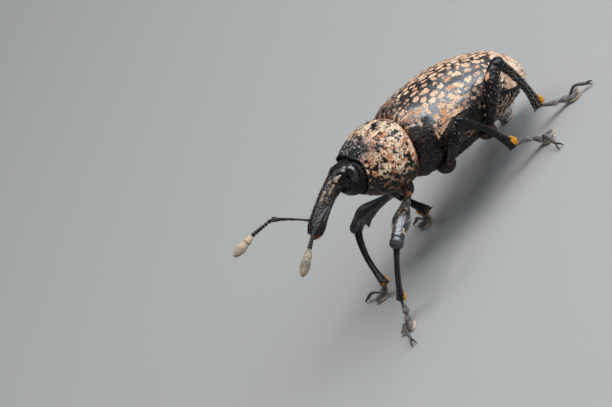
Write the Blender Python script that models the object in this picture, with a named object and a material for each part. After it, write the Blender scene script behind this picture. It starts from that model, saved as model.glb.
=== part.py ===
"""A large weevil of fig trees, life-size and alive: it stands on its six feet with its front end raised.

The animal faces -Y, its left side is +X and the floor is z = 0. Sizes are in millimetres until a mesh
is made. Body shapes are drawn in the body's own frame: f forward, l to the animal's left and u up from
the middle of the prothorax's base. The whole body is pitched front up in the stance.
"""

import math

import bmesh
import bpy
import numpy as np

# Stance
MM = 0.001
GAP = 0.2  # clear space between neighbouring pieces
PITCH = math.radians(22.5)
BASE_AT = np.array((-0.31, 0.71, 6.95))  # where the prothorax's base stands above the floor
PROTHORAX_TILT = math.radians(6.6)  # the prothorax is raised a little more than the hind body

# Hind body: length behind the prothorax, half width, top, height of the widest line, bottom
HINDBODY = (
    (0.0, 2.60, 2.26, 0.00, -2.20),
    (1.0, 3.11, 2.58, 0.00, -2.62),
    (3.0, 3.37, 2.89, 0.08, -2.80),
    (5.4, 3.47, 2.99, 0.18, -2.58),
    (7.9, 3.12, 2.48, 0.15, -2.10),
    (9.6, 2.30, 1.62, -0.05, -1.60),
    (10.4, 1.36, 0.68, -0.33, -1.22),
    (10.8, 0.42, -0.22, -0.55, -0.85),
)
# Lower edge of the wing covers: length behind the prothorax, height
ELYTRON_EDGE = ((0.0, 0.25), (1.3, 0.33), (3.2, 0.33), (5.3, 0.13), (6.6, -0.05), (8.5, -0.48), (10.8, -0.72))
ELYTRA_START = 0.25
ELYTRA_END = 10.78
ELYTRON_THICKNESS = 0.5
PIT_ROWS = 8
PITS_IN_ROW = 16
PIT_DEPTH = 0.12
GROOVE_DEPTH = 0.04  # of the furrow that each row of pits lies in
UNDERSIDE_INSET = 0.14  # the flank lies this far inside the wing covers' edge
UNDERSIDE_END = 10.1
TAIL_LEDGE = (8.6, 9.7)  # between these the body's back sinks to its ledge, under the closed tail
THORAX_END = 4.6
SECTION_POWER = 2.2  # of the superellipse that the body's cross sections follow
FLANK_POWER = 1.8  # below the wing covers, where the legs lie against the flank
VENTRITES = (6.6, 8.0, 8.8, 9.5)  # where one belly plate ends and the next begins
VENTRITE_GROOVE = 0.09

# Prothorax: length before its base, half width, top, height of the widest line, bottom
PROTHORAX = (
    (0.0, 2.46, 2.03, -0.02, -2.35),
    (0.86, 2.65, 2.24, 0.00, -2.55),
    (1.9, 2.57, 2.06, -0.03, -2.42),
    (3.1, 1.88, 1.54, -0.12, -2.02),
    (3.78, 1.48, 1.16, -0.22, -1.76),
)
RIM = (0.3, 0.09)  # the groove before the prothorax's hind rim: place and depth
WRINKLE = 0.07

# Head and rostrum on the middle plane: forward, up, half width, half height
FACE = (
    (3.05, 0.05, 0.80, 0.76),
    (3.35, 0.06, 1.10, 1.05),
    (3.82, 0.13, 1.26, 1.20),
    (4.15, 0.26, 1.26, 1.13),
    (4.50, 0.38, 1.04, 0.88),
    (4.90, 0.32, 0.74, 0.66),
    (5.30, 0.14, 0.62, 0.60),
    (5.90, -0.16, 0.56, 0.56),
    (6.60, -0.62, 0.56, 0.54),
    (7.20, -1.08, 0.61, 0.55),
    (7.65, -1.46, 0.68, 0.54),
    (7.98, -1.76, 0.62, 0.42),
)
HEAD_LENGTH = 1.95  # along that line, to the root of the rostrum
FACE_GAP = 0.7 * GAP  # between head and rostrum, to either side of that place
JAW_SIZE = (0.34, 0.17, 0.20)
JAWS_APART = 0.2
JAW_INSET = 0.02
SCROBE_DEPTH = 0.15  # the groove that the folded scape lies in
SCROBE_FROM, SCROBE_TO = 2.35, 4.75  # along the face's line, from below the eye to the scape's root
EYE_AT = (4.08, 1.10, 0.42)
EYE_SIZE = (0.34, 0.26, 0.54)  # half sizes: along, outward and up
EYE_ROOM = 0.15
SCUTELLUM_AT = 0.8
SCUTELLUM = ((0.55, 0.24), (0.55, -0.24), (0.85, -0.26), (1.20, 0.0), (0.85, 0.26))  # length, left

# Antennae: the elbowed scape, the beaded funicle and the club
INSERTION = (7.24, 0.76, -1.12)
SCAPE_LENGTH = 2.9
FUNICLE_LENGTH = 1.65
CLUB_LENGTH = 1.75
SCAPE_TOWARD = {"left": (0.75, -0.54, 0.38), "right": (-0.78, -0.33, 0.53)}
FUNICLE_TOWARD = {"left": (0.38, -0.92, -0.14), "right": (-0.37, -0.91, 0.18)}
CLUB_TOWARD = {"left": (-0.03, -0.94, -0.35), "right": (-0.33, -0.94, 0.01)}
# Half thicknesses from root to tip, as in all rows called halves
SCAPE_HALVES = (0.22, 0.20, 0.19, 0.19, 0.21, 0.26, 0.20)
CLUB_HALVES = (0.18, 0.30, 0.34, 0.31, 0.36, 0.35, 0.32, 0.21, 0.06)
ELBOW_ROOM = 0.18
BEADS = 7
BEAD_HALF = 0.19
BEAD_SWELL = 0.05
FUNICLE_TAPER = 0.03

# Legs: where each femur leaves the body (f, l, u), and the lengths of femur and tibia
COXA = {"fore": (0.9, 0.75, -2.62), "mid": (-2.0, 1.38, -2.72), "hind": (-5.5, 1.9, -2.35)}
COXA_SIZE = {"fore": (0.72, 0.64, 0.80), "mid": (0.68, 0.68, 0.66), "hind": (0.55, 0.95, 0.55)}
FEMUR_LENGTH = {"fore": 5.1, "mid": 4.4, "hind": 5.4}
TIBIA_LENGTH = {"fore": 4.4, "mid": 4.75, "hind": 5.0}
FEMUR_ARCH = {"fore": 0.14, "mid": 0.12, "hind": 0.34}  # most of all three quarters of the way to the knee
TOOTH_AT = 0.69  # along the femur
TOOTH_LENGTH = {"fore": 0.26, "mid": 0.26, "hind": 0.12}
TOOTH_LEAN = 0.05
FEMUR_BOW = {"fore": 0.45, "mid": 1.02, "hind": 1.10}
BOW_TOWARD = (0.88, -0.32, 0.35)  # of the left legs, so that the femora clear the flanks
# Along the femur as a share of its length: half width and half depth
FEMUR_PROFILE = (
    (0.12, 0.25, 0.26),
    (0.22, 0.27, 0.28),
    (0.34, 0.34, 0.36),
    (0.46, 0.47, 0.47),
    (0.56, 0.58, 0.57),
    (0.63, 0.59, 0.59),
    (TOOTH_AT, 0.56, 0.57),
    (0.73, 0.50, 0.50),
    (0.82, 0.45, 0.47),
    (0.91, 0.43, 0.47),
    (0.98, 0.46, 0.44),
    (1.05, 0.38, 0.34),
    (1.08, 0.14, 0.14),
)
KNEE_ROOM = 0.45
TIBIA_START = 0.30  # from the knee
TIBIA_HALVES = (0.26, 0.25, 0.25, 0.26, 0.28, 0.32, 0.27)
TIBIA_BOW = 0.22
HOOK_LENGTH = 0.52
HOOK_HALVES = (0.17, 0.15, 0.11, 0.04)
COXA_RISE = 0.32  # the coxa's middle lies this far above the femur's root
# Feet
TARSUS_START = 0.53  # from the ankle
TARSUS_RISE = {
    "fore_left": -0.20,
    "mid_left": 0.40,
    "hind_left": 0.40,
    "fore_right": 0.0,
    "mid_right": 0.30,
    "hind_right": 0.40,
}
TARSUS_HALVES = (
    (0.16, 0.16),
    (0.22, 0.21),
    (0.27, 0.25),
    (0.17, 0.17),
    (0.27, 0.24),
    (0.30, 0.25),
    (0.22, 0.20),
)
PAD_HEIGHT = 0.26
LOBE_SIZE = (0.50, 0.27, 0.27)
LOBE_AHEAD = 0.30
LOBE_APART = 0.20
LOBE_SPLAY = 0.35
CLAW_JOINT_HALVES = (0.16, 0.17, 0.18, 0.21, 0.20)
CLAW_JOINT_RISE = 0.42
CLAW_HEIGHT = 0.10
CLAW_TIP_HEIGHT = 0.03
CLAW_LENGTH = 0.55
CLAW_HALVES = (0.13, 0.12, 0.09, 0.03)
CLAW_SPLAY = 0.5
CLAW_BEND = 0.10
CLAWS_APART = 0.08
# The stance of each leg: its knee and ankle, and where its tarsal pad and claws stand on the floor
STANCE = {
    "fore_left": ((3.06, -5.50, 4.75), (0.75, -7.29, 1.46), (1.39, -8.57), (3.09, -9.94)),
    "mid_left": ((4.28, 3.26, 6.16), (3.54, 4.64, 1.68), (4.18, 6.44), (6.23, 5.56)),
    "hind_left": ((4.51, 7.82, 6.14), (3.03, 8.12, 1.38), (4.04, 9.86), (5.18, 10.77)),
    "fore_right": ((-5.32, -3.18, 4.00), (-3.46, -5.62, 1.23), (-4.49, -5.90), (-6.28, -6.28)),
    "mid_right": ((-5.46, 0.14, 5.37), (-2.97, -0.06, 1.33), (-4.85, 0.07), (-6.32, 0.04)),
    "hind_right": ((-5.02, 8.12, 4.95), (-2.52, 7.32, 1.19), (-3.01, 8.51), (-3.51, 9.76)),
}


def clear_scene():
    for obj in list(bpy.data.objects):
        bpy.data.objects.remove(obj, do_unlink=True)


def material(name, color, roughness, metallic=0.0):
    made = bpy.data.materials.new(name)
    made.use_nodes = True
    shader = made.node_tree.nodes["Principled BSDF"]
    shader.inputs["Base Color"].default_value = (*color, 1.0)
    shader.inputs["Roughness"].default_value = roughness
    shader.inputs["Metallic"].default_value = metallic
    made.diffuse_color = (*color, 1.0)
    return made


def smooth(table, at):
    """The table's later columns where its first column is at: a smooth curve through its rows."""
    rows = np.array(table, float)
    x, y = rows[:, 0], rows[:, 1:]
    slopes = np.gradient(y, x, axis=0)
    at = np.clip(np.atleast_1d(np.asarray(at, float)), x[0], x[-1])
    k = np.clip(np.searchsorted(x, at, side="right") - 1, 0, len(x) - 2)
    span = (x[k + 1] - x[k])[:, None]
    t = ((at - x[k])[:, None]) / span
    return (
        y[k] * (2 * t**3 - 3 * t**2 + 1)
        + slopes[k] * span * (t**3 - 2 * t**2 + t)
        + y[k + 1] * (3 * t**2 - 2 * t**3)
        + slopes[k + 1] * span * (t**3 - t**2)
    )


def curve_through(points, count):
    """Evenly spaced points along a smooth curve through a few guide points."""
    guides = np.array(points, float)
    reach = np.concatenate([[0], np.cumsum(np.linalg.norm(np.diff(guides, axis=0), axis=1))])
    return smooth(np.column_stack([reach, guides]), np.linspace(0, reach[-1], count))


def unit(vector):
    vector = np.asarray(vector, float)
    return vector / np.linalg.norm(vector)


def placed(points):
    """Points of the body's frame where they stand above the floor."""
    points = np.asarray(points, float)
    f, l, u = points[..., 0], points[..., 1], points[..., 2]
    x = l
    y = -(f * math.cos(PITCH) - u * math.sin(PITCH))
    z = f * math.sin(PITCH) + u * math.cos(PITCH)
    return np.stack([x, y, z], -1) + BASE_AT


def direction(vector):
    """A unit vector of the body's frame as it points above the floor."""
    return unit(placed(vector) - BASE_AT)


def raised(points):
    """Points of the prothorax's own frame in the body's frame, turned up about its base."""
    points = np.asarray(points, float)
    f, l, u = points[..., 0], points[..., 1], points[..., 2]
    c, s = math.cos(PROTHORAX_TILT), math.sin(PROTHORAX_TILT)
    return np.stack([f * c - u * s, l, f * s + u * c], -1)


def volume(points, faces):
    """Six times the volume that faces wind round, which is negative where they point inward."""
    total = 0.0
    for face in faces:
        for b, c in zip(face[1:-1], face[2:]):
            total += points[face[0]] @ np.cross(points[b], points[c])
    return total


def mesh_object(name, points, faces, look):
    points = np.asarray(points, float)
    if volume(points - points.mean(0), faces) < 0:
        faces = [tuple(reversed(face)) for face in faces]
    mesh = bpy.data.meshes.new(name)
    mesh.from_pydata([tuple(p) for p in points * MM], [], faces)
    mesh.materials.append(look)
    mesh.shade_smooth()
    mesh.set_sharp_from_angle(angle=math.radians(50))
    made = bpy.data.objects.new(name, mesh)
    bpy.context.collection.objects.link(made)
    return made


def loft(rings, point_ends=False):
    """A skin over closed rings of equal count. Its ends are flat, or fans to their middles."""
    rings = [np.asarray(ring, float) for ring in rings]
    n = len(rings[0])
    points = np.concatenate(rings)
    faces = []
    for i in range(len(rings) - 1):
        for j in range(n):
            a, b = i * n + j, i * n + (j + 1) % n
            faces.append((a, b, b + n, a + n))
    last = (len(rings) - 1) * n
    if not point_ends:
        faces.append(tuple(reversed(range(n))))
        faces.append(tuple(range(last, last + n)))
        return points, faces
    points = np.concatenate([points, [rings[0].mean(0)], [rings[-1].mean(0)]])
    for j in range(n):
        faces.append(((j + 1) % n, j, last + n))
        faces.append((last + j, last + (j + 1) % n, last + n + 1))
    return points, faces


def limb(path, sizes, up, sides=8):
    """Rings round a path. Sizes are half thicknesses across and along the up direction."""
    path = np.asarray(path, float)
    tangents = np.gradient(path, axis=0)
    rings = []
    for point, tangent, (across, along) in zip(path, tangents, sizes):
        ahead = unit(tangent)
        side = unit(np.cross(ahead, up))
        top = np.cross(side, ahead)
        turn = 2 * math.pi * (np.arange(sides) + 0.5) / sides
        rings.append(point + np.outer(np.cos(turn) * across, side) + np.outer(np.sin(turn) * along, top))
    return rings


def limb_object(name, path, sizes, up, look, sides=8, spur=None):
    """A limb along a path. A spur pulls out the side opposite to up at one ring, by a vector."""
    rings = limb(path, sizes, up, sides)
    if spur:
        at, pull = spur
        lowest = np.argmin(rings[at] @ np.asarray(up))
        rings[at][lowest] += pull
    points, faces = loft(rings, point_ends=True)
    return mesh_object(name, points, faces, look)


def ellipsoid(name, middle, axes, sizes, look, around=12, along=8):
    """An ellipsoid on three unit axes, closed at two poles on the last axis."""
    axes = np.array(axes, float)
    shape = bmesh.new()
    bmesh.ops.create_uvsphere(shape, u_segments=around, v_segments=along, radius=1.0)
    mesh = bpy.data.meshes.new(name)
    shape.to_mesh(mesh)
    shape.free()
    unit_points = np.array([v.co[:] for v in mesh.vertices])
    points = np.asarray(middle) + (unit_points * np.asarray(sizes)) @ axes
    faces = [tuple(polygon.vertices) for polygon in mesh.polygons]
    bpy.data.meshes.remove(mesh)
    return mesh_object(name, points, faces, look)


def largest_surface(mesh):
    """Keeps only the largest closed surface of a mesh."""
    shape = bmesh.new()
    shape.from_mesh(mesh)
    left = set(shape.verts)
    shells = []
    while left:
        stack = [left.pop()]
        shell = set(stack)
        while stack:
            for edge in stack.pop().link_edges:
                for vertex in edge.verts:
                    if vertex in left:
                        left.remove(vertex)
                        shell.add(vertex)
                        stack.append(vertex)
        shells.append(shell)
    keep = max(shells, key=len)
    bmesh.ops.delete(shape, geom=[v for v in shape.verts if v not in keep], context="VERTS")
    shape.to_mesh(mesh)
    shape.free()


def boolean(target, operation, others):
    """Joins or cuts the target with other objects, applies the result and removes the others."""
    group = bpy.data.collections.new("tools_of_" + target.name)
    bpy.context.scene.collection.children.link(group)
    for other in others:
        bpy.context.collection.objects.unlink(other)
        group.objects.link(other)
    change = target.modifiers.new("change", "BOOLEAN")
    change.operation = operation
    change.operand_type = "COLLECTION"
    change.collection = group
    change.solver = "MANIFOLD"  # the exact solver loses shapes this small
    bpy.context.view_layer.update()
    graph = bpy.context.evaluated_depsgraph_get()
    result = bpy.data.meshes.new_from_object(target.evaluated_get(graph))
    target.modifiers.clear()
    old = target.data
    target.data = result
    bpy.data.meshes.remove(old)
    for other in others:
        bpy.data.objects.remove(other, do_unlink=True)
    bpy.data.collections.remove(group)
    largest_surface(target.data)
    return target


def section(s, inset=0.0, power=SECTION_POWER):
    """Half width, top, widest height and bottom of the hind body's cross section."""
    half, top, middle, bottom = smooth(HINDBODY, s)[0]
    return half - inset, top - inset, middle, bottom + inset


def section_point(sizes, turn, power):
    """A point (l, u) of a cross section at an angle from straight out to the left."""
    half, top, middle, bottom = sizes
    out = math.copysign(abs(math.cos(turn)) ** (2 / power), math.cos(turn))
    rise = math.copysign(abs(math.sin(turn)) ** (2 / power), math.sin(turn))
    height = (top - middle) if rise > 0 else (middle - bottom)
    return half * out, middle + height * rise


def edge_turn(s, offset=0.0):
    """The angle at which the wing covers' lower edge lies on the cross section."""
    half, top, middle, bottom = section(s)
    rise = smooth(ELYTRON_EDGE, s)[0][0] + offset - middle
    height = (top - middle) if rise > 0 else (middle - bottom)
    return math.copysign(math.asin(min(1.0, abs(rise) / height) ** (SECTION_POWER / 2)), rise)


def front_slant(s, u):
    """The hind body's front faces lean with the prothorax's base."""
    return -math.tan(PROTHORAX_TILT) * u * max(0.0, 1 - s / 1.5)


def slant(s):
    """How much deeper a cross section must be cut than its slanting surface, for the same thickness."""
    step = 0.1
    before, after = section(s - step), section(s + step)
    fall = max(before[0] - after[0], before[1] - after[1]) / (2 * step)
    return math.hypot(1.0, max(0.0, fall))


def toward_middle(point, middle, depth):
    """A point moved straight toward the section's middle, at most three quarters of the way."""
    l, u = point
    reach = math.hypot(l, u - middle)
    keep = 1 - min(depth / max(reach, 1e-6), 0.75)
    return l * keep, middle + (u - middle) * keep


def elytron(side, look, inner=5):
    """One wing cover: a curved shell from its lower edge to the suture, with rows of pits between ribs."""
    sign = 1 if side == "left" else -1
    rings = []
    for k, s in enumerate(tail_spacing(ELYTRA_START, ELYTRA_END, 2 * PITS_IN_ROW + 1)):
        sizes = section(s)
        low = edge_turn(s)
        at_end = k in (0, 2 * PITS_IN_ROW)
        outer = []
        for column, turn in enumerate(np.linspace(low, math.pi / 2, 2 * PIT_ROWS + 1)):
            row, in_row = divmod(column, 2)
            depth = 0.0
            if in_row and not at_end:
                depth = PIT_DEPTH if (k + row) % 2 else GROOVE_DEPTH
            outer.append(toward_middle(section_point(sizes, turn, SECTION_POWER), sizes[2], depth))
        turns = np.linspace(math.pi / 2, low, inner)
        under = [section_point(sizes, turn, SECTION_POWER) for turn in turns]
        under = [toward_middle(point, sizes[2], ELYTRON_THICKNESS * slant(s)) for point in under]
        ring = [(-s + front_slant(s, u), sign * max(l, GAP / 2), u) for l, u in outer + under]
        rings.append(placed(ring))
    points, faces = loft(rings)
    return mesh_object("elytron_" + side, points, faces, look)


def tail_spacing(start, end, count):
    """Stations that close up toward the tail."""
    t = np.linspace(0, 1, count)
    return start + (end - start) * (1 - (1 - t) ** 1.5 * 0.55 - (1 - t) * 0.45)


def underside(name, stations, look, grooves=(), below=7, above=5):
    """A length of the body below and inside the wing covers, with a flank, a ledge and a vaulted back."""
    rings = []
    for s in stations:
        inner_sizes = section(s)
        low = edge_turn(s, -1.4 * GAP)
        inset = UNDERSIDE_INSET + (VENTRITE_GROOVE if s in grooves else 0.0)
        flank = [section_point(section(s, inset), turn, FLANK_POWER)
                 for turn in np.linspace(-math.pi / 2, low, below)]
        turns = np.linspace(low, math.pi / 2, above)
        back = [section_point(inner_sizes, turn, SECTION_POWER) for turn in turns]
        depth = (ELYTRON_THICKNESS + GAP) * slant(s)
        back = [toward_middle(point, inner_sizes[2], depth) for point in back]
        ledge = flank[-1][1]
        sunk = np.clip((s - TAIL_LEDGE[0]) / (TAIL_LEDGE[1] - TAIL_LEDGE[0]), 0, 0.96)
        back = [(l, u + (ledge - u) * sunk) for l, u in back]
        left = flank + back
        right = [(-l, u) for l, u in reversed(left[1:-1])]
        rings.append(placed([(-s + front_slant(s, u), l, u) for l, u in left + right]))
    points, faces = loft(rings)
    return mesh_object(name, points, faces, look)


def belly_stations():
    """The abdomen's stations, with one each side of every groove between its plates."""
    stations = [THORAX_END + GAP, 5.7, UNDERSIDE_END]
    for at in VENTRITES:
        stations += [at - 0.16, at, at + 0.16]
    return sorted(stations)


def prothorax(look, around=32, stations=11):
    """A barrel with a hind rim, rough on its back and flanks."""
    length = PROTHORAX[-1][0]
    rough = np.random.default_rng(5)
    rings = []
    for f in sorted([RIM[0], *np.linspace(0, length, stations)]):
        half, top, middle, bottom = smooth(PROTHORAX, f)[0]
        ring = []
        for turn in 2 * math.pi * np.arange(around) / around:
            depth = RIM[1] if f == RIM[0] else rough.uniform(0, WRINKLE) * (0.5 < f < length - 0.2)
            point = section_point((half, top, middle, bottom), turn, SECTION_POWER)
            ring.append((f, *toward_middle(point, middle, depth)))
        rings.append(placed(raised(ring)))
    points, faces = loft(rings)
    return mesh_object("prothorax", points, faces, look)


def face_reach():
    """How far along the face's line each of its stations lies."""
    rows = np.array(FACE)
    return np.concatenate([[0], np.cumsum(np.hypot(np.diff(rows[:, 0]), np.diff(rows[:, 1])))])


def scrobe(along, turn):
    """How deep the groove on either side of the rostrum is. It runs down to the throat near the head."""
    if not SCROBE_FROM < along < SCROBE_TO:
        return 0.0
    back = (SCROBE_TO - along) / (SCROBE_TO - SCROBE_FROM)
    groove_turn = -math.radians(5 + 45 * back)
    off = abs(math.remainder(turn - groove_turn, 2 * math.pi))
    off = min(off, abs(math.remainder(math.pi - turn - groove_turn, 2 * math.pi)))
    return SCROBE_DEPTH * (1 - 0.5 * back) if off < math.radians(9.5) else 0.0


def face_loft(name, start, end, look, grow=0.0, around=20, stations=8):
    """A length of the head and rostrum, whose sections follow the line of the face on the middle plane."""
    table = np.column_stack([face_reach(), FACE])
    at = np.linspace(start, end, stations)
    line = smooth(table, at)
    line[:, 2:] += grow
    tangents = smooth(table, at + 0.05)[:, :2] - smooth(table, at - 0.05)[:, :2]
    rings = []
    turn = 2 * math.pi * np.arange(around) / around
    for along, (f, u, half, tall), (df, du) in zip(at, line, tangents):
        slope = math.atan2(du, df)
        sunk = np.array([scrobe(along, t) for t in turn])
        l = (half - sunk) * np.cos(turn)
        v = (tall - sunk) * np.sin(turn)
        rings.append(placed(np.column_stack([f - v * math.sin(slope), l, u + v * math.cos(slope)])))
    points, faces = loft(rings)
    return mesh_object(name, points, faces, look)


def rostrum(look):
    """The snout, with a scrobe on each side and the two jaws at its tip."""
    end = face_reach()[-1]
    made = face_loft("rostrum", HEAD_LENGTH + FACE_GAP, end, look, stations=13)
    jaws = []
    for side in (-1, 1):
        f, u = FACE[-1][:2]
        middle = placed((f - JAW_INSET, side * JAWS_APART, u - JAW_INSET))
        axes = [direction(axis) for axis in ((0.76, -0.2 * side, -0.62), (0.2, side, 0), (0.62, 0, 0.76))]
        jaws.append(ellipsoid("jaw", middle, axes, JAW_SIZE, look, 6, 5))
    boolean(made, "UNION", jaws)


def head_socket(look):
    """The hollow in the prothorax's front that the head's globe sits in."""
    room = face_loft("room", 0.0, HEAD_LENGTH, look, grow=1.3 * GAP)
    boolean(bpy.data.objects["prothorax"], "DIFFERENCE", [room])


def antenna(side, look, club_look):
    """Three pieces: the scape, the funicle of beads after the elbow, and the club."""
    sign = 1 if side == "left" else -1
    start = placed((INSERTION[0], sign * (INSERTION[1] + GAP), INSERTION[2]))
    ahead = unit(SCAPE_TOWARD[side])
    up = unit((0.0, 0.3, 1.0))
    path = start + np.outer(np.linspace(0, 1, len(SCAPE_HALVES)) * SCAPE_LENGTH, ahead)
    limb_object(f"antenna_{side}_scape", path, [(r, r) for r in SCAPE_HALVES], up, look)

    elbow = start + ahead * SCAPE_LENGTH
    ahead = unit(FUNICLE_TOWARD[side])
    start = elbow + ahead * (GAP + ELBOW_ROOM)
    steps = np.linspace(0, 1, 3 * BEADS + 1)
    path = start + np.outer(steps * (FUNICLE_LENGTH - 2 * GAP - ELBOW_ROOM), ahead)
    radii = BEAD_HALF + BEAD_SWELL * np.abs(np.sin(math.pi * steps * BEADS)) + FUNICLE_TAPER * steps
    limb_object(f"antenna_{side}_funicle", path, [(r, r) for r in radii], up, look)

    start = elbow + ahead * FUNICLE_LENGTH
    ahead = unit(CLUB_TOWARD[side])
    path = start + np.outer(np.linspace(0, 1, len(CLUB_HALVES)) * CLUB_LENGTH, ahead)
    limb_object(f"antenna_{side}_club", path, [(r, r) for r in CLUB_HALVES], up, club_look)


def leg_points(leg):
    """The femur's root, knee and ankle, with the named lengths, and the pad and claws on the floor."""
    pair, side = leg.split("_")
    sign = 1 if side == "left" else -1
    knee, ankle, pad, claws = (np.array(p, float) for p in STANCE[leg])
    f, l, u = COXA[pair]
    root = placed((f, sign * l, u))
    knee = root + unit(knee - root) * FEMUR_LENGTH[pair]
    ankle = knee + unit(ankle - knee) * TIBIA_LENGTH[pair]
    return root, knee, ankle, np.array((*pad, PAD_HEIGHT)), np.array((*claws, CLAW_HEIGHT))


def femur(name, look):
    """A slender root, a swelling with a tooth on its flexor side, and a round knee."""
    pair, side = name.split("_")
    sign = 1 if side == "left" else -1
    root, knee, ankle = leg_points(name)[:3]
    along = unit(knee - root)
    shin = unit(ankle - knee)
    flexor = unit(shin - along * (shin @ along))
    steps, across, deep = np.array(FEMUR_PROFILE).T
    bow = np.outer(FEMUR_BOW[pair] * np.sin(math.pi * steps), (sign * BOW_TOWARD[0], *BOW_TOWARD[1:]))
    arch = np.outer(FEMUR_ARCH[pair] * np.sin(math.pi * np.minimum(1, steps) ** 2.2), flexor)
    path = root + np.outer(steps * FEMUR_LENGTH[pair], along) + bow - arch
    tooth = (int(np.argmin(abs(steps - TOOTH_AT))), flexor * TOOTH_LENGTH[pair] + along * TOOTH_LEAN)
    made = limb_object("femur_" + name, path, np.column_stack([across, deep]), -flexor, look, 10, tooth)
    room = [knee + shin * t for t in (TIBIA_START - GAP, 1.0, 2.4)]
    notch = limb_object("notch", room, [(KNEE_ROOM, KNEE_ROOM)] * 3, flexor, look)
    boolean(made, "DIFFERENCE", [notch])


def tibia(name, look):
    """Bent a little near the knee and wider at its end, where a hook stands on the inner side."""
    root, knee, ankle = leg_points(name)[:3]
    along = unit(knee - root)
    shin = unit(ankle - knee)
    inner = unit(-along - shin * (-along @ shin))
    steps = np.linspace(0, 1, len(TIBIA_HALVES))
    length = TIBIA_LENGTH[name.split("_")[0]] - TIBIA_START
    bow = np.outer(TIBIA_BOW * np.sin(math.pi * steps), inner)
    path = knee + np.outer(TIBIA_START + steps * length, shin) - bow
    made = limb_object("tibia_" + name, path, [(0.9 * half, half) for half in TIBIA_HALVES], -inner, look)
    guides = ((-0.35, 0.0), (-0.12, 0.55), (0.1, 1.0))
    guides = [ankle + shin * down + inner * out * HOOK_LENGTH for down, out in guides]
    hook = curve_through(guides, len(HOOK_HALVES))
    boolean(made, "UNION", [limb_object("hook", hook, [(r, r) for r in HOOK_HALVES], shin, look, 5)])


def tarsus(name, look):
    """Pads down to the floor, the last one in two lobes, then the claw joint with its two claws."""
    ankle, pad, toe = leg_points(name)[2:]
    up = np.array((0.0, 0.0, 1.0))
    first = ankle + unit(pad - ankle) * TARSUS_START
    path = curve_through([first, (first + pad) / 2 + up * TARSUS_RISE[name], pad], len(TARSUS_HALVES))
    made = limb_object("tarsus_" + name, path, TARSUS_HALVES, up, look, 7)
    ahead = unit((toe - pad) * (1, 1, 0))
    across = np.cross(up, ahead)
    pieces = []
    for side in (-1, 1):
        lobe_ahead = unit(ahead + across * side * LOBE_SPLAY)
        middle = pad + lobe_ahead * LOBE_AHEAD + across * side * LOBE_APART
        axes = (lobe_ahead, np.cross(up, lobe_ahead), up)
        pieces.append(ellipsoid("lobe", middle, axes, LOBE_SIZE, look, 8, 5))
    rise = (pad + toe) / 2 + up * CLAW_JOINT_RISE
    last = toe + up * 0.28 - ahead * 0.35
    path = curve_through([pad + ahead * 0.1 + up * 0.05, rise, last], len(CLAW_JOINT_HALVES))
    pieces.append(limb_object("claw_joint", path, [(r, r) for r in CLAW_JOINT_HALVES], up, look, 6))
    for side in (-1, 1):
        root = last + across * side * CLAWS_APART
        tip = root + unit(ahead + across * side * CLAW_SPLAY) * CLAW_LENGTH
        tip[2] = CLAW_TIP_HEIGHT
        bend = (root + tip) / 2 + up * CLAW_BEND
        path = curve_through([root, bend, tip], len(CLAW_HALVES))
        pieces.append(limb_object("claw", path, [(r, r) for r in CLAW_HALVES], across, look, 5))
    boolean(made, "UNION", pieces)
    cut_at_floor(made, look)


def cut_at_floor(made, look):
    """Flat soles at the floor's level."""
    x, y = np.mean([v.co[:2] for v in made.data.vertices], axis=0) / MM
    reach = 4.0
    rings = []
    for z in (-reach, 0.0):
        rings.append([(x + reach * a, y + reach * b, z) for a, b in ((-1, -1), (1, -1), (1, 1), (-1, 1))])
    points, faces = loft(rings)
    boolean(made, "DIFFERENCE", [mesh_object("floor", points, faces, look)])


def coxa_shape(name, pair, sign, grow, look):
    """The globe at a leg's root, or with grow the hollow for it."""
    f, l, u = COXA[pair]
    middle = placed((f, sign * l, u)) + direction((0, 0, 1)) * COXA_RISE
    axes = [direction(axis) for axis in ((1, 0, 0), (0, sign, 0), (0, 0, 1))]
    return ellipsoid(name, middle, axes, np.array(COXA_SIZE[pair]) + grow, look, 14, 8)


def coxa(name, look):
    """A globe in a socket of the body, flat where the femur leaves it."""
    pair, side = name.split("_")
    root, knee = leg_points(name)[:2]
    along = unit(knee - root)
    made = coxa_shape("coxa_" + name, pair, 1 if side == "left" else -1, 0.0, look)
    start = FEMUR_PROFILE[0][0] * FEMUR_LENGTH[pair] - GAP
    cutter = [root + along * t for t in (start, start + 1.0)]
    boolean(made, "DIFFERENCE", [limb_object("seat", cutter, [(0.9, 0.9)] * 2, (0.0, 0.0, 1.0), look)])


def coxa_sockets(body_name, pair, look):
    """Hollows in the body round a pair of coxae."""
    tools = [coxa_shape("socket", pair, sign, GAP, look) for sign in (1, -1)]
    boolean(bpy.data.objects[body_name], "DIFFERENCE", tools)


def eye(side, look, head_look):
    sign = 1 if side == "left" else -1
    middle = placed((EYE_AT[0], sign * EYE_AT[1], EYE_AT[2]))
    axes = [direction(axis) for axis in ((1, 0, 0), (0, sign, 0), (0, 0, 1))]
    room = ellipsoid("room", middle, axes, np.array(EYE_SIZE) + EYE_ROOM, head_look, 14, 8)
    boolean(bpy.data.objects["head"], "DIFFERENCE", [room])
    ellipsoid("eye_" + side, middle, axes, EYE_SIZE, look, 14, 10)


def scutellum_slab(grow, low, high):
    """The small shield between the wing covers' bases, from low to high beside the back's line."""
    top = section(SCUTELLUM_AT)[1]
    out = 1 + grow / SCUTELLUM[-1][1]
    outline = [(-SCUTELLUM_AT - (s - SCUTELLUM_AT) * out, l * out) for s, l in SCUTELLUM]
    return loft([placed([(f, l, top + rise) for f, l in outline]) for rise in (low, high)])


def scutellum(look):
    for side in ("left", "right"):
        points, faces = scutellum_slab(GAP, -0.9, 1.0)
        boolean(bpy.data.objects["elytron_" + side], "DIFFERENCE", [mesh_object("room", points, faces, look)])
    points, faces = scutellum_slab(0.0, -0.45, 0.05)
    mesh_object("scutellum", points, faces, look)


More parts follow.
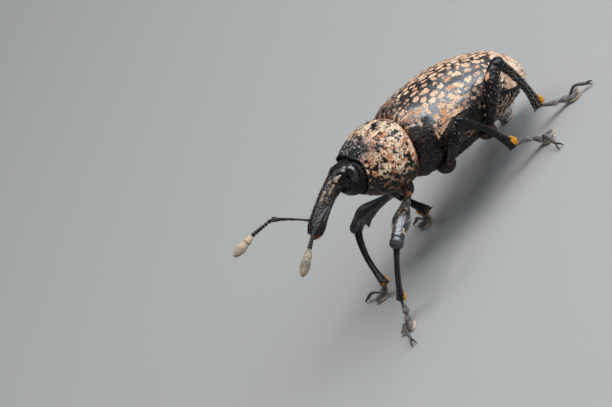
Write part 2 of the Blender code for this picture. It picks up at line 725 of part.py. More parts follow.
def build():
    clear_scene()
    black = material("black_cuticle", (0.020, 0.020, 0.022), 0.35)
    mottled = material("tan_and_black_cuticle", (0.30, 0.19, 0.12), 0.5)
    glossy = material("eye", (0.008, 0.009, 0.011), 0.1)
    dusty = material("grey_hair", (0.42, 0.36, 0.33), 0.7)
    tarsal = material("tarsus", (0.10, 0.085, 0.08), 0.6)

    prothorax(mottled)
    underside("thorax", np.linspace(0.25, THORAX_END, 7), black)
    underside("abdomen", belly_stations(), black, grooves=VENTRITES)
    for side in ("left", "right"):
        elytron(side, mottled)
    scutellum(black)
    face_loft("head", GAP, HEAD_LENGTH - FACE_GAP, black)
    head_socket(black)
    rostrum(black)
    for side in ("left", "right"):
        eye(side, glossy, black)
        antenna(side, black, dusty)
    coxa_sockets("prothorax", "fore", black)
    coxa_sockets("thorax", "mid", black)
    coxa_sockets("abdomen", "hind", black)
    for name in STANCE:
        femur(name, black)
        tibia(name, black)
        tarsus(name, tarsal)
        coxa(name, black)


build()
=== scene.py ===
"""The looks of a fig tree weevil: a black beetle whose pits and hollows are filled with tan scales.

Sizes are in millimetres until a mesh is made. The animal faces -Y, its left side is +X and the floor is
z = 0. Its forms are drawn in the body's own frame, as in the part's source: f forward, l to the animal's
left and u up from the middle of the prothorax's base.
"""

import math

import bpy
import numpy as np
from mathutils import Matrix, Vector


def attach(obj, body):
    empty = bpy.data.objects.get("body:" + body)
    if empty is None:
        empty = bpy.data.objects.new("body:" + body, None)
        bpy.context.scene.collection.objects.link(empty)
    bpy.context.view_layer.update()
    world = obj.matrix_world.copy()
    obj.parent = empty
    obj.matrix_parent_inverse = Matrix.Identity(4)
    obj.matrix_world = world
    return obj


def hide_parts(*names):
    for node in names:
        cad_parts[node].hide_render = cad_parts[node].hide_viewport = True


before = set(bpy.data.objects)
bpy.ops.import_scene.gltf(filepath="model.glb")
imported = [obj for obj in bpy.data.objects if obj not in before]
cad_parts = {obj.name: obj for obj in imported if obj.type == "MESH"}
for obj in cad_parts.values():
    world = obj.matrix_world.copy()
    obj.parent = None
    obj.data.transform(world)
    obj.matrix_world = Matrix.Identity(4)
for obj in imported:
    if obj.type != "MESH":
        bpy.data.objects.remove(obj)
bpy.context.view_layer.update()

MM = 0.001
PATCH = 0.003  # width of a hair's or scale's place on the OFBake map
MARGIN = 0.004  # clear edge of each surface's rectangle on that map

# Colours, linear
BLACK = np.array((0.0025, 0.0024, 0.0028))
BROWN_BLACK = np.array((0.022, 0.013, 0.009))
TAN = np.array((0.61, 0.35, 0.20))
PALE_TAN = np.array((0.80, 0.60, 0.44))
ORANGE_TAN = np.array((0.50, 0.20, 0.085))
RUST = np.array((0.20, 0.075, 0.035))
GREY_WHITE = np.array((0.52, 0.50, 0.50))
CREAM = np.array((0.86, 0.80, 0.70))
GOLD = np.array((0.86, 0.40, 0.035))
PALE_HAIR = np.array((0.55, 0.45, 0.34))
CLUB_GREY = np.array((0.52, 0.41, 0.30))
MAUVE = np.array((0.17, 0.135, 0.14))

# The stance and the forms, as in the part's source
PITCH = math.radians(22.5)
BASE_AT = np.array((-0.31, 0.71, 6.95))
PROTHORAX_TILT = math.radians(6.6)
# Length behind the prothorax, half width, top, height of the widest line, bottom
HINDBODY = (
    (0.0, 2.60, 2.26, 0.00, -2.20),
    (1.0, 3.11, 2.58, 0.00, -2.62),
    (3.0, 3.37, 2.89, 0.08, -2.80),
    (5.4, 3.47, 2.99, 0.18, -2.58),
    (7.9, 3.12, 2.48, 0.15, -2.10),
    (9.6, 2.30, 1.62, -0.05, -1.60),
    (10.4, 1.36, 0.68, -0.33, -1.22),
    (10.8, 0.42, -0.22, -0.55, -0.85),
)
# Length behind the prothorax, height
ELYTRON_EDGE = (
    (0.0, 0.25), (1.3, 0.33), (3.2, 0.33), (5.3, 0.13), (6.6, -0.05), (8.5, -0.48), (10.8, -0.72),
)
ELYTRA_START = 0.04
ELYTRA_END = 10.78
ELYTRON_THICKNESS = 0.4
SECTION_POWER = 2.2
FLANK_POWER = 1.8
VENTRITES = (4.7, 6.6, 8.0, 8.8, 9.5)
# Length before its base, half width, top, height of the widest line, bottom
PROTHORAX = (
    (0.0, 2.46, 2.03, -0.02, -2.35),
    (0.86, 2.65, 2.24, 0.00, -2.55),
    (1.9, 2.57, 2.06, -0.03, -2.42),
    (3.1, 1.88, 1.54, -0.12, -2.02),
    (3.78, 1.48, 1.16, -0.22, -1.76),
)
# Forward, up, half width, half height
FACE = (
    (3.05, 0.05, 1.10, 1.06),
    (3.35, 0.07, 1.30, 1.26),
    (3.82, 0.13, 1.31, 1.27),
    (4.15, 0.26, 1.26, 1.13),
    (4.50, 0.38, 1.04, 0.88),
    (4.90, 0.32, 0.74, 0.66),
    (5.30, 0.14, 0.62, 0.60),
    (5.90, -0.16, 0.56, 0.56),
    (6.60, -0.62, 0.56, 0.54),
    (7.20, -1.08, 0.61, 0.55),
    (7.65, -1.46, 0.68, 0.54),
    (7.98, -1.76, 0.62, 0.42),
)
EYE_AT = (4.08, 1.10, 0.42)
EYE_SIZE = (0.34, 0.26, 0.54)
INSERTION = (7.24, 0.62, -1.12)
SCAPE_LENGTH = 2.95
FUNICLE_LENGTH = 1.60
CLUB_LENGTH = 1.80
SCAPE_TOWARD = {"left": (0.75, -0.54, 0.38), "right": (-0.78, -0.33, 0.53)}
FUNICLE_TOWARD = {"left": (0.38, -0.92, -0.14), "right": (-0.37, -0.91, 0.18)}
CLUB_TOWARD = {"left": (-0.03, -0.94, -0.35), "right": (-0.33, -0.94, 0.01)}
COXA = {"fore": (0.9, 0.75, -2.62), "mid": (-2.0, 1.38, -2.72), "hind": (-5.5, 1.9, -2.35)}
COXA_SIZE = {"fore": (0.46, 0.54, 0.64), "mid": (0.64, 0.66, 0.62), "hind": (0.52, 0.90, 0.52)}
COXA_AHEAD = {"fore": 0.14, "mid": 0.0, "hind": 0.0}
COXA_RISE = 0.32
FEMUR_LENGTH = {"fore": 5.1, "mid": 4.4, "hind": 5.4}
TIBIA_LENGTH = {"fore": 4.4, "mid": 4.75, "hind": 5.0}
FEMUR_ARCH = {"fore": 0.14, "mid": 0.12, "hind": 0.34}
FEMUR_BOW = {"fore": 0.45, "mid": 1.02, "hind": 1.10}
BOW_TOWARD = (0.88, -0.32, 0.35)
TOOTH_AT = 0.67
TOOTH_LENGTH = {"fore": 0.38, "mid": 0.34, "hind": 0.20}
# Along the femur as a share of its length: half width, half depth
FEMUR_PROFILE = (
    (0.00, 0.18, 0.20),
    (0.05, 0.24, 0.26),
    (0.12, 0.25, 0.26),
    (0.22, 0.27, 0.28),
    (0.34, 0.34, 0.36),
    (0.46, 0.47, 0.47),
    (0.56, 0.58, 0.57),
    (0.65, 0.60, 0.60),
    (0.73, 0.54, 0.54),
    (0.82, 0.45, 0.47),
    (0.91, 0.43, 0.47),
    (0.98, 0.46, 0.45),
    (1.03, 0.42, 0.38),
    (1.065, 0.26, 0.24),
    (1.08, 0.06, 0.06),
)
TIBIA_HALF = {"fore": 0.22, "mid": 0.26, "hind": 0.28}
TIBIA_BOW = {"fore": 0.36, "mid": 0.22, "hind": 0.22}
TIBIA_ROOT = {"fore": 0.42, "mid": 0.10, "hind": 0.15}
# Along the tibia as a share of its length: thickness as a share of its half
TIBIA_PROFILE = (
    (0.0, 0.75), (0.05, 1.10), (0.12, 1.0), (0.5, 0.95), (0.8, 1.08), (0.93, 1.30), (0.985, 1.22), (1.0, 0.7),
)
HOOK_LENGTH = 0.50
TARSUS_RISE = {
    "fore_left": -0.15,
    "mid_left": 0.30,
    "hind_left": -0.10,
    "fore_right": 0.0,
    "mid_right": 0.30,
    "hind_right": 0.40,
}
CLAW_JOINT_RISE = {
    "fore_left": 0.68,
    "mid_left": 0.75,
    "hind_left": 0.52,
    "fore_right": 0.44,
    "mid_right": 0.44,
    "hind_right": 0.50,
}
PAD_HEIGHT = 0.26
CLAW_HEIGHT = 0.10
# Each leg's knee and ankle, and where its pad and claws stand on the floor
STANCE = {
    "fore_left": ((3.06, -5.50, 4.75), (0.75, -7.29, 1.46), (1.12, -8.34), (3.07, -9.80)),
    "mid_left": ((4.28, 3.26, 6.16), (3.54, 4.64, 1.68), (3.98, 6.22), (6.20, 5.56)),
    "hind_left": ((4.51, 7.82, 6.14), (3.03, 8.12, 1.38), (3.92, 9.66), (5.18, 10.70)),
    "fore_right": ((-5.32, -3.18, 4.00), (-3.46, -5.62, 1.23), (-4.49, -5.90), (-6.28, -6.28)),
    "mid_right": ((-5.46, 0.14, 5.37), (-2.97, -0.06, 1.33), (-4.85, 0.07), (-6.32, 0.04)),
    "hind_right": ((-5.02, 8.12, 4.95), (-2.52, 7.32, 1.19), (-3.01, 8.51), (-3.51, 9.76)),
}
UP = np.array((0.0, 0.0, 1.0))


# Numbers and noise


def smooth(table, at):
    """The table's later columns where its first column is at: a smooth curve through its rows."""
    rows = np.array(table, float)
    x, y = rows[:, 0], rows[:, 1:]
    slopes = np.gradient(y, x, axis=0)
    at = np.clip(np.atleast_1d(np.asarray(at, float)), x[0], x[-1])
    k = np.clip(np.searchsorted(x, at, side="right") - 1, 0, len(x) - 2)
    span = (x[k + 1] - x[k])[:, None]
    t = ((at - x[k])[:, None]) / span
    return (
        y[k] * (2 * t**3 - 3 * t**2 + 1)
        + slopes[k] * span * (t**3 - 2 * t**2 + t)
        + y[k + 1] * (3 * t**2 - 2 * t**3)
        + slopes[k + 1] * span * (t**3 - t**2)
    )


def curve_through(points, count):
    """Evenly spaced points along a smooth curve through a few guide points."""
    guides = np.array(points, float)
    reach = np.concatenate([[0], np.cumsum(np.linalg.norm(np.diff(guides, axis=0), axis=1))])
    return smooth(np.column_stack([reach, guides]), np.linspace(0, reach[-1], count))


def unit(vector):
    vector = np.asarray(vector, float)
    return vector / (np.linalg.norm(vector, axis=-1, keepdims=True) + 1e-12)


def ease(low, high, x):
    """0 up to low, 1 from high, and smooth between."""
    t = np.clip((x - low) / (high - low), 0, 1)
    return t * t * (3 - 2 * t)


def mix(a, b, share):
    share = np.asarray(share, float)[..., None]
    return a * (1 - share) + b * share


def hash01(*keys):
    """A fixed pseudo-random number from 0 to 1 for each set of whole numbers."""
    total = np.zeros(np.broadcast_shapes(*[np.shape(k) for k in keys]), np.uint64)
    for key in keys:
        total = (total ^ np.asarray(key, np.int64).astype(np.uint64)) * np.uint64(0x9E3779B97F4A7C15)
        total = total ^ (total >> np.uint64(29))
        total = total * np.uint64(0xBF58476D1CE4E5B9)
        total = total ^ (total >> np.uint64(32))
    return (total >> np.uint64(40)).astype(float) / float(1 << 24)


def noise(points, size, seed):
    """Smooth noise from 0 to 1 whose spots are about size across."""
    scaled = np.asarray(points, float) / size
    cell = np.floor(scaled).astype(np.int64)
    t = scaled - cell
    t = t * t * (3 - 2 * t)
    total = 0.0
    for corner in np.ndindex(2, 2, 2):
        weight = 1.0
        for axis in range(3):
            weight = weight * (t[..., axis] if corner[axis] else 1 - t[..., axis])
        total = total + weight * hash01(*[cell[..., axis] + corner[axis] for axis in range(3)], seed)
    return total


def rough_noise(points, size, seed, layers=3):
    """Noise with finer noise over it."""
    total, weight = 0.0, 0.0
    for layer in range(layers):
        total = total + noise(points, size / 2**layer, seed + layer) / 2**layer
        weight += 1 / 2**layer
    return total / weight


def cells(points, size, seed):
    """Distance of each point to its cell's middle and to the next one, in cell sizes, and the cell's draw."""
    scaled = np.asarray(points, float) / size
    cell = np.floor(scaled).astype(np.int64)
    near = np.full(scaled.shape[:-1], 9.0)
    second = near.copy()
    draw = np.zeros_like(near)
    for step in np.ndindex(3, 3, 3):
        there = cell + np.array(step) - 1
        keys = [there[..., axis] for axis in range(3)]
        spot = there + np.stack([hash01(*keys, seed + axis) for axis in range(3)], -1)
        away = np.linalg.norm(spot - scaled, axis=-1)
        closer = away < near
        second = np.where(closer, near, np.minimum(second, away))
        draw = np.where(closer, hash01(*keys, seed + 7), draw)
        near = np.where(closer, away, near)
    return near, second, draw


def around(at, value, width):
    """A bell that is 1 where value is at."""
    return np.exp(-(((value - at) / width) ** 2))


def grainy(colour, points, seed, low=0.62):
    """A colour that is lighter and darker from scale to scale."""
    return colour * (low + 0.62 * noise(points, 0.07, seed))[..., None]


def turns(count):
    """Angles evenly round a circle."""
    return 2 * math.pi * np.arange(count) / count


# Places in the body's frame


def placed(points):
    """Points of the body's frame where they stand above the floor."""
    points = np.asarray(points, float)
    f, l, u = points[..., 0], points[..., 1], points[..., 2]
    y = -(f * math.cos(PITCH) - u * math.sin(PITCH))
    z = f * math.sin(PITCH) + u * math.cos(PITCH)
    return np.stack([l, y, z], -1) + BASE_AT


def direction(vector):
    return unit(placed(vector) - BASE_AT)


def raised(points):
    """Points of the prothorax's own frame in the body's frame, turned up about its base."""
    points = np.asarray(points, float)
    f, l, u = points[..., 0], points[..., 1], points[..., 2]
    c, s = math.cos(PROTHORAX_TILT), math.sin(PROTHORAX_TILT)
    return np.stack([f * c - u * s, l, f * s + u * c], -1)


# Surfaces


class Skin:
    """A surface of rings of points, closed round, with a colour and a share of scales at each point."""

    def __init__(self, rings):
        self.points = np.array(rings, float)
        shape = self.points.shape[:2]
        self.colour = np.tile(BLACK, (*shape, 1))
        self.scaly = np.zeros(shape)
        self.chart = (0.0, 0.0, 1.0, 1.0)
        lengthwise = np.linalg.norm(np.diff(self.points, axis=0), axis=-1).mean(axis=1).sum()
        across = np.linalg.norm(self.points - np.roll(self.points, 1, 1), axis=-1).sum(axis=1).mean()
        self.size = (lengthwise, across)
        raw = self.raw_normals()
        outward = np.sum(raw * (self.points - self.points.mean(axis=1, keepdims=True)))
        self.turned = outward < 0

    def raw_normals(self):
        along = np.gradient(self.points, axis=0)
        around = np.roll(self.points, -1, 1) - np.roll(self.points, 1, 1)
        return unit(np.cross(along, around))

    def normals(self):
        return -self.raw_normals() if self.turned else self.raw_normals()

    def lift(self, height):
        """Moves the points out along their normals."""
        self.points = self.points + self.normals() * np.asarray(height)[..., None]

    def paint(self, colour, share):
        self.colour = mix(self.colour, np.asarray(colour), share)

    def faces(self):
        """Quads and their map corners, then the triangles of the two ends and theirs."""
        rings, around = self.points.shape[:2]
        i, j = np.meshgrid(np.arange(rings - 1), np.arange(around), indexing="ij")
        i, j = i.ravel(), j.ravel()
        k = (j + 1) % around
        low, high = i * around, (i + 1) * around
        quads = np.column_stack([low + j, high + j, high + k, low + k])
        places = np.stack([
            np.column_stack([i, j]), np.column_stack([i + 1, j]),
            np.column_stack([i + 1, j + 1]), np.column_stack([i, j + 1]),
        ], 1).astype(float)
        places /= (rings - 1, around)
        j = np.arange(around)
        k = (j + 1) % around
        total = rings * around
        last = total - around
        first_fan = np.column_stack([j, k, np.full(around, total)])
        last_fan = np.column_stack([last + k, last + j, np.full(around, total + 1)])
        tris = np.concatenate([first_fan, last_fan])
        rim = np.column_stack([j, j + 1, j + 0.5]) / around
        first_places = np.stack([np.zeros_like(rim), rim], -1)
        last_places = np.stack([np.ones_like(rim), rim[:, [1, 0, 2]]], -1)
        tri_places = np.concatenate([first_places, last_places])
        if self.turned:
            quads, places, tris, tri_places = (x[:, ::-1] for x in (quads, places, tris, tri_places))
        return quads, self.on_map(places), tris, self.on_map(tri_places)

    def on_map(self, places):
        """Shares along and around as places on the piece's map."""
        left, low, width, height = self.chart
        return np.stack([left + width * places[..., 0], low + height * places[..., 1]], -1)

    def vertices(self):
        """Points, colours and shares of scales, those of the two ends' middles last."""
        values = (self.points, self.colour, self.scaly[..., None])
        return [np.concatenate([v.reshape(-1, v.shape[-1]), v[[0, -1]].mean(1)]) for v in values]


def lay_charts(skins):
    """Gives each skin of a piece its own rectangle of the map, in rows, all at about one scale."""
    order = sorted(skins, key=lambda skin: -skin.size[1])
    area = sum(skin.size[0] * skin.size[1] for skin in skins)
    row_length = max(math.sqrt(area), *(skin.size[0] for skin in skins))
    rows, used = [[]], 0.0
    for skin in order:
        if used + skin.size[0] > row_length * 1.001 and rows[-1]:
            rows.append([])
            used = 0.0
        rows[-1].append(skin)
        used += skin.size[0]
    heights = [max(skin.size[1] for skin in row) for row in rows]
    scale = 1 / max(sum(heights), row_length)
    low = 0.0
    for row, height in zip(rows, heights):
        left = 0.0
        for skin in row:
            width, tall = skin.size[0] * scale, skin.size[1] * scale
            skin.chart = (left + MARGIN, low + MARGIN, width - 2 * MARGIN, tall - 2 * MARGIN)
            left += width
        low += height * scale


def new_object(name, points, quads, quad_map, tris, tri_map, colour, scaly, look):
    """A mesh object with its OFBake map and the attributes that its material reads."""
    mesh = bpy.data.meshes.new(name)
    corners = np.concatenate([quads.ravel(), tris.ravel()]).astype(np.int32)
    starts = np.concatenate([np.arange(len(quads)) * 4, len(quads) * 4 + np.arange(len(tris)) * 3])
    mesh.vertices.add(len(points))
    mesh.vertices.foreach_set("co", (points * MM).astype(np.float32).ravel())
    mesh.loops.add(len(corners))
    mesh.loops.foreach_set("vertex_index", corners)
    mesh.polygons.add(len(starts))
    mesh.polygons.foreach_set("loop_start", starts.astype(np.int32))
    mesh.update(calc_edges=True)
    layer = mesh.uv_layers.new(name="OFBake")
    places = np.concatenate([quad_map.reshape(-1, 2), tri_map.reshape(-1, 2)])
    layer.data.foreach_set("uv", places.astype(np.float32).ravel())
    tint = mesh.color_attributes.new(name="tint", type="FLOAT_COLOR", domain="POINT")
    opaque = np.column_stack([colour, np.ones(len(colour))])
    tint.data.foreach_set("color", opaque.astype(np.float32).ravel())
    share = mesh.attributes.new(name="scaly", type="FLOAT", domain="POINT")
    share.data.foreach_set("value", scaly.astype(np.float32).ravel())
    mesh.materials.append(look)
    mesh.shade_smooth()
    made = bpy.data.objects.new(name, mesh)
    bpy.context.scene.collection.objects.link(made)
    return made


def piece(name, skins, look, slot, *nodes):
    """Joins skins to one object that rides on the body and stands for some of the part's nodes."""
    lay_charts(skins)
    parts = []
    count = 0
    for skin in skins:
        points, colour, scaly = skin.vertices()
        quads, quad_map, tris, tri_map = skin.faces()
        parts.append((points, quads + count, quad_map, tris + count, tri_map, colour, scaly))
        count += len(points)
    made = new_object(name, *(np.concatenate(part) for part in zip(*parts)), look)
    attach(made, "root")
    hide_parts(*nodes)


def tube(path, wide, deep, up, count):
    """Rings round a path, from their half thicknesses across it and along the up direction."""
    ahead = unit(np.gradient(path, axis=0))
    side = unit(np.cross(ahead, np.broadcast_to(up, ahead.shape)))
    top = np.cross(side, ahead)
    turn = turns(count)[None, :, None]
    across = np.cos(turn) * wide[:, None, None] * side[:, None, :]
    along = np.sin(turn) * deep[:, None, None] * top[:, None, :]
    return path[:, None, :] + across + along


def globe(middle, axes, sizes, rings, count):
    """Rings of an ellipsoid from its pole on the last axis."""
    polar = np.linspace(1e-3, math.pi - 1e-3, rings)[:, None]
    turn = turns(count)[None, :]
    shape = [np.sin(polar) * np.cos(turn), np.sin(polar) * np.sin(turn), np.cos(polar) + 0 * turn]
    return middle + (np.stack(shape, -1) * sizes) @ np.array(axes)


# Wing covers and hind body


def section(table, at, turn, inset=0.0, power=SECTION_POWER):
    """Places (l, u) on a body's cross sections, at angles from straight out, a row for each place along."""
    half, top, middle, bottom = (column[:, None] for column in smooth(table, at).T)
    out = np.sign(np.cos(turn)) * np.abs(np.cos(turn)) ** (2 / power)
    rise = np.sign(np.sin(turn)) * np.abs(np.sin(turn)) ** (2 / power)
    height = np.where(rise > 0, top - inset - middle, middle - bottom - inset)
    return (half - inset) * out, middle + height * rise


def edge_turn(s):
    """The angle at which the wing covers' lower edge lies on the cross section."""
    _, top, middle, bottom = smooth(HINDBODY, s).T
    rise = smooth(ELYTRON_EDGE, s)[:, 0] - middle
    height = np.where(rise > 0, top - middle, middle - bottom)
    return np.sign(rise) * np.arcsin(np.minimum(1, np.abs(rise) / height) ** (SECTION_POWER / 2))


def front_slant(s, u):
    """The hind body's front faces lean with the prothorax's base."""
    return -math.tan(PROTHORAX_TILT) * u * np.maximum(0.0, 1 - s / 1.5)


def spread_evenly(points, count):
    """Each row's points moved along their line to equal distances."""
    rows = []
    for row in points:
        reach = np.concatenate([[0], np.cumsum(np.linalg.norm(np.diff(row, axis=0), axis=1))])
        even = np.linspace(0, reach[-1], count)
        rows.append(np.column_stack([np.interp(even, reach, row[:, axis]) for axis in range(row.shape[1])]))
    return np.array(rows)


def tail_spacing(start, end, count):
    """Stations that close up toward the tail."""
    t = np.linspace(0, 1, count)
    return start + (end - start) * (1 - (1 - t) ** 1.5 * 0.55 - (1 - t) * 0.45)


PIT_ROWS = 10
PIT_PITCH = 0.68
PIT_LENGTH = 0.25  # half
PIT_WIDTH = 0.38  # half, as a share of a row's width
PIT_DEPTH = 0.055
ROLL = 0.32  # radius of the wing covers' front edge


def elytron_marks(s, x, points):
    """Height, scaliness and colour on a wing cover. x runs from its lower edge, 0, to the suture, 1."""
    row = np.clip(x + 0.09 * (noise(points, 0.8, 4) - 0.5), 0, 0.9999) * PIT_ROWS
    i = np.floor(row).astype(int)
    along = s / PIT_PITCH + 0.5 * (i % 2) + 0.8 * (noise(points, 1.3, 3) - 0.5)
    j = np.floor(along).astype(int)
    draws = [hash01(i, j, seed) for seed in (11, 12, 13, 14, 15)]
    length = PIT_LENGTH * (0.56 + 0.70 * draws[1] + 0.35 * (draws[1] > 0.82))
    ahead = (along - j - 0.5 - 0.34 * (draws[0] - 0.5)) * PIT_PITCH / length
    aside = (row - i - 0.5 - 0.34 * (draws[2] - 0.5)) / (PIT_WIDTH * (0.66 + 0.58 * draws[3]))
    ragged = rough_noise(points, 0.24, 21, 4)
    square = (np.abs(ahead) ** 2.6 + np.abs(aside) ** 2.6) ** (1 / 2.6)
    pit = 1 - square + 1.5 * (ragged - 0.5) + 0.7 * (noise(points, 0.09, 22) - 0.5)
    pit = pit - 1.2 * (draws[4] < 0.07)

    # Where the scales run together over the ribs
    base = 1 - ease(1.1, 1.8, s)
    late = ease(0.35, 0.60, x)
    tail = ease(-0.2, 1.8, s - 6.6 - 1.5 * late + 2.2 * (noise(points, 0.8, 36) - 0.5))
    patch = (1 - ease(0.10, 0.19, x)) * ease(1.75, 2.0, s + 1.2 * x) * (1 - ease(3.0, 3.5, s))
    corner = (1 - ease(0.10, 0.18, x - 0.06 * (1 - ease(0.5, 0.9, s)))) * (1 - ease(1.3, 1.65, s))
    dark_side = (1 - ease(0.10, 0.22, x)) * ease(3.4, 3.9, s) * (1 - ease(6.5, 7.2, s))
    shoulder = around(1.38, s, 0.42) * around(0.18, x, 0.10)
    small = noise(points, 1.5, 34) - 0.5 + 0.5 * around(3.3, s, 0.5) * around(0.66, x, 0.13)
    crown = ease(0.55, 0.80, x)
    spread = 0.31 + 0.13 * base + 0.40 * tail + 0.38 * patch + 0.03 * crown * ease(2.0, 3.5, s)
    spread = spread - 0.06 * crown * base - 0.24 * corner + 0.10 * dark_side
    spread = spread + 0.24 * (noise(points, 1.2, 32) - 0.5)
    collar = ease(0.14, 0.22, x) * (1 - ease(0.45, 0.60, x)) * (1 - ease(1.05, 1.30, s))
    spread = spread + 0.10 * collar - 0.45 * ease(0.3, 0.6, shoulder)
    mottle = rough_noise(points, 0.34, 31, 4) * (1 - 0.65 * collar)
    mottle = mottle + rough_noise(points, 0.16, 35) * 0.65 * collar
    near, second, boss_draw = cells(points, 0.24, 33)
    web = ease(0.05, 0.20, second - near + 0.06 * tail)
    beside_boss = ease(0.14, 0.26, near + 0.35 * (boss_draw > 0.65) + 0.1 * tail)
    merged = ease(-0.02, 0.04, spread - mottle) * web * beside_boss
    less = 0.25 * dark_side + 1.4 * ease(0.25, 0.5, shoulder) + 0.30 * base + 0.9 * corner + 0.40 * small
    less = less - 0.06 * crown * (1 - base) - 0.35 * around(1.95, s, 0.55) * around(0.36, x, 0.12)
    in_pit = ease(-0.10, 0.14, pit - less)
    scaly = np.maximum(in_pit, merged)

    sink = ease(-0.1, 0.6, pit) * (1 - ease(0.3, 0.6, shoulder)) * (1 - corner)
    height = -PIT_DEPTH * sink * (1 - 0.45 * in_pit) - 0.018 * merged
    height = height + 0.022 * scaly * (noise(points, 0.07, 41) - 0.5)
    height = height + 0.02 * (noise(points, 0.45, 42) - 0.5)
    height = height - 0.05 * around(1.0, x, 0.012) + 0.02 * ease(0.93, 0.97, x) * (1 - ease(0.97, 0.99, x))
    height = height + 0.05 * around(1.55, s, 0.28) * around(0.22, x, 0.055)

    # Painted sheen: the scales over the middle of the flank are made paler where the blue-grey sheen lies.
    flank = around(4.6, s, 1.5) * around(0.34, x, 0.20)
    pale = np.clip(noise(points, 0.9, 51) + 0.4 * tail + 0.5 * flank + 0.6 * (draws[4] - 0.5), 0, 1)
    scale_colour = mix(TAN, PALE_TAN, pale)
    brown = 0.8 * ease(0.60, 0.05, scaly) + 0.6 * (draws[4] > 0.95) * in_pit
    brown = brown + 0.4 * ease(0.66, 0.8, noise(points, 0.5, 53))
    scale_colour = mix(scale_colour, ORANGE_TAN, np.clip(brown, 0, 1))
    scale_colour = mix(scale_colour, RUST, 0.40 * dark_side + base * (0.15 + 0.55 * crown))
    brown = 0.75 * base * (1 - shoulder) + 0.8 * dark_side + 0.3 * tail
    between = mix(BLACK, BROWN_BLACK, np.clip(brown, 0, 1))
    return height, scaly, mix(between, grainy(scale_colour, points, 52), scaly)


def elytron(side, looks):
    """One wing cover: a shell with a rolled front edge, pitted outside."""
    sign = 1 if side == "left" else -1
    rings, outer, inner = 330, 156, 16
    s = tail_spacing(ELYTRA_START, ELYTRA_END, rings)
    low = edge_turn(s)
    share = np.linspace(0, 1, 400)[None, :]
    roll = ROLL * (1 - np.sqrt(1 - np.clip(1 - (s - ELYTRA_START) / ROLL, 0, 1) ** 2))
    turn = low[:, None] + (math.pi / 2 - low[:, None]) * share
    half, _, middle, _ = smooth(HINDBODY, s).T
    l, u = section(HINDBODY, s, turn)
    keep = 1 - roll[:, None] / np.maximum(np.hypot(l, u - middle[:, None]), 0.3)
    l, u = l * keep, middle[:, None] + (u - middle[:, None]) * keep
    shell = spread_evenly(np.stack([l, u], -1), outer)
    depth = np.minimum(ELYTRON_THICKNESS, 0.55 * half)[:, None]
    back = shell[:, np.linspace(outer - 1, 0, inner).astype(int)]
    reach = np.hypot(back[..., 0], back[..., 1] - middle[:, None])
    keep = 1 - np.minimum(depth / np.maximum(reach, 0.05), 0.7)
    back = np.stack([back[..., 0] * keep, middle[:, None] + (back[..., 1] - middle[:, None]) * keep], -1)
    ring = np.concatenate([shell, back], axis=1)
    ring[..., 0] = np.maximum(ring[..., 0], 0.012)
    s_grid = np.broadcast_to(s[:, None], ring.shape[:2])
    body = np.stack([-s_grid + front_slant(s_grid, ring[..., 1]), sign * ring[..., 0], ring[..., 1]], -1)
    skin = Skin(placed(body))
    x = np.linspace(0, 1, outer)[None, :] + 0 * s[:, None]
    apart = (0, 40 * sign, 0)  # so that the two covers' noise differs
    height, scaly, colour = elytron_marks(s_grid[:, :outer], x, body[:, :outer] * (1, sign, 1) + apart)
    full = np.zeros(ring.shape[:2])
    full[2:-2, :outer] = height[2:-2]
    skin.lift(full)
    skin.colour[:, :outer] = colour
    skin.scaly[:, :outer] = scaly
    skin.outer = outer
    piece(f"elytron_skin_{side}", [skin], looks["shell"], "mottled_cuticle", "elytron_" + side)
    return skin


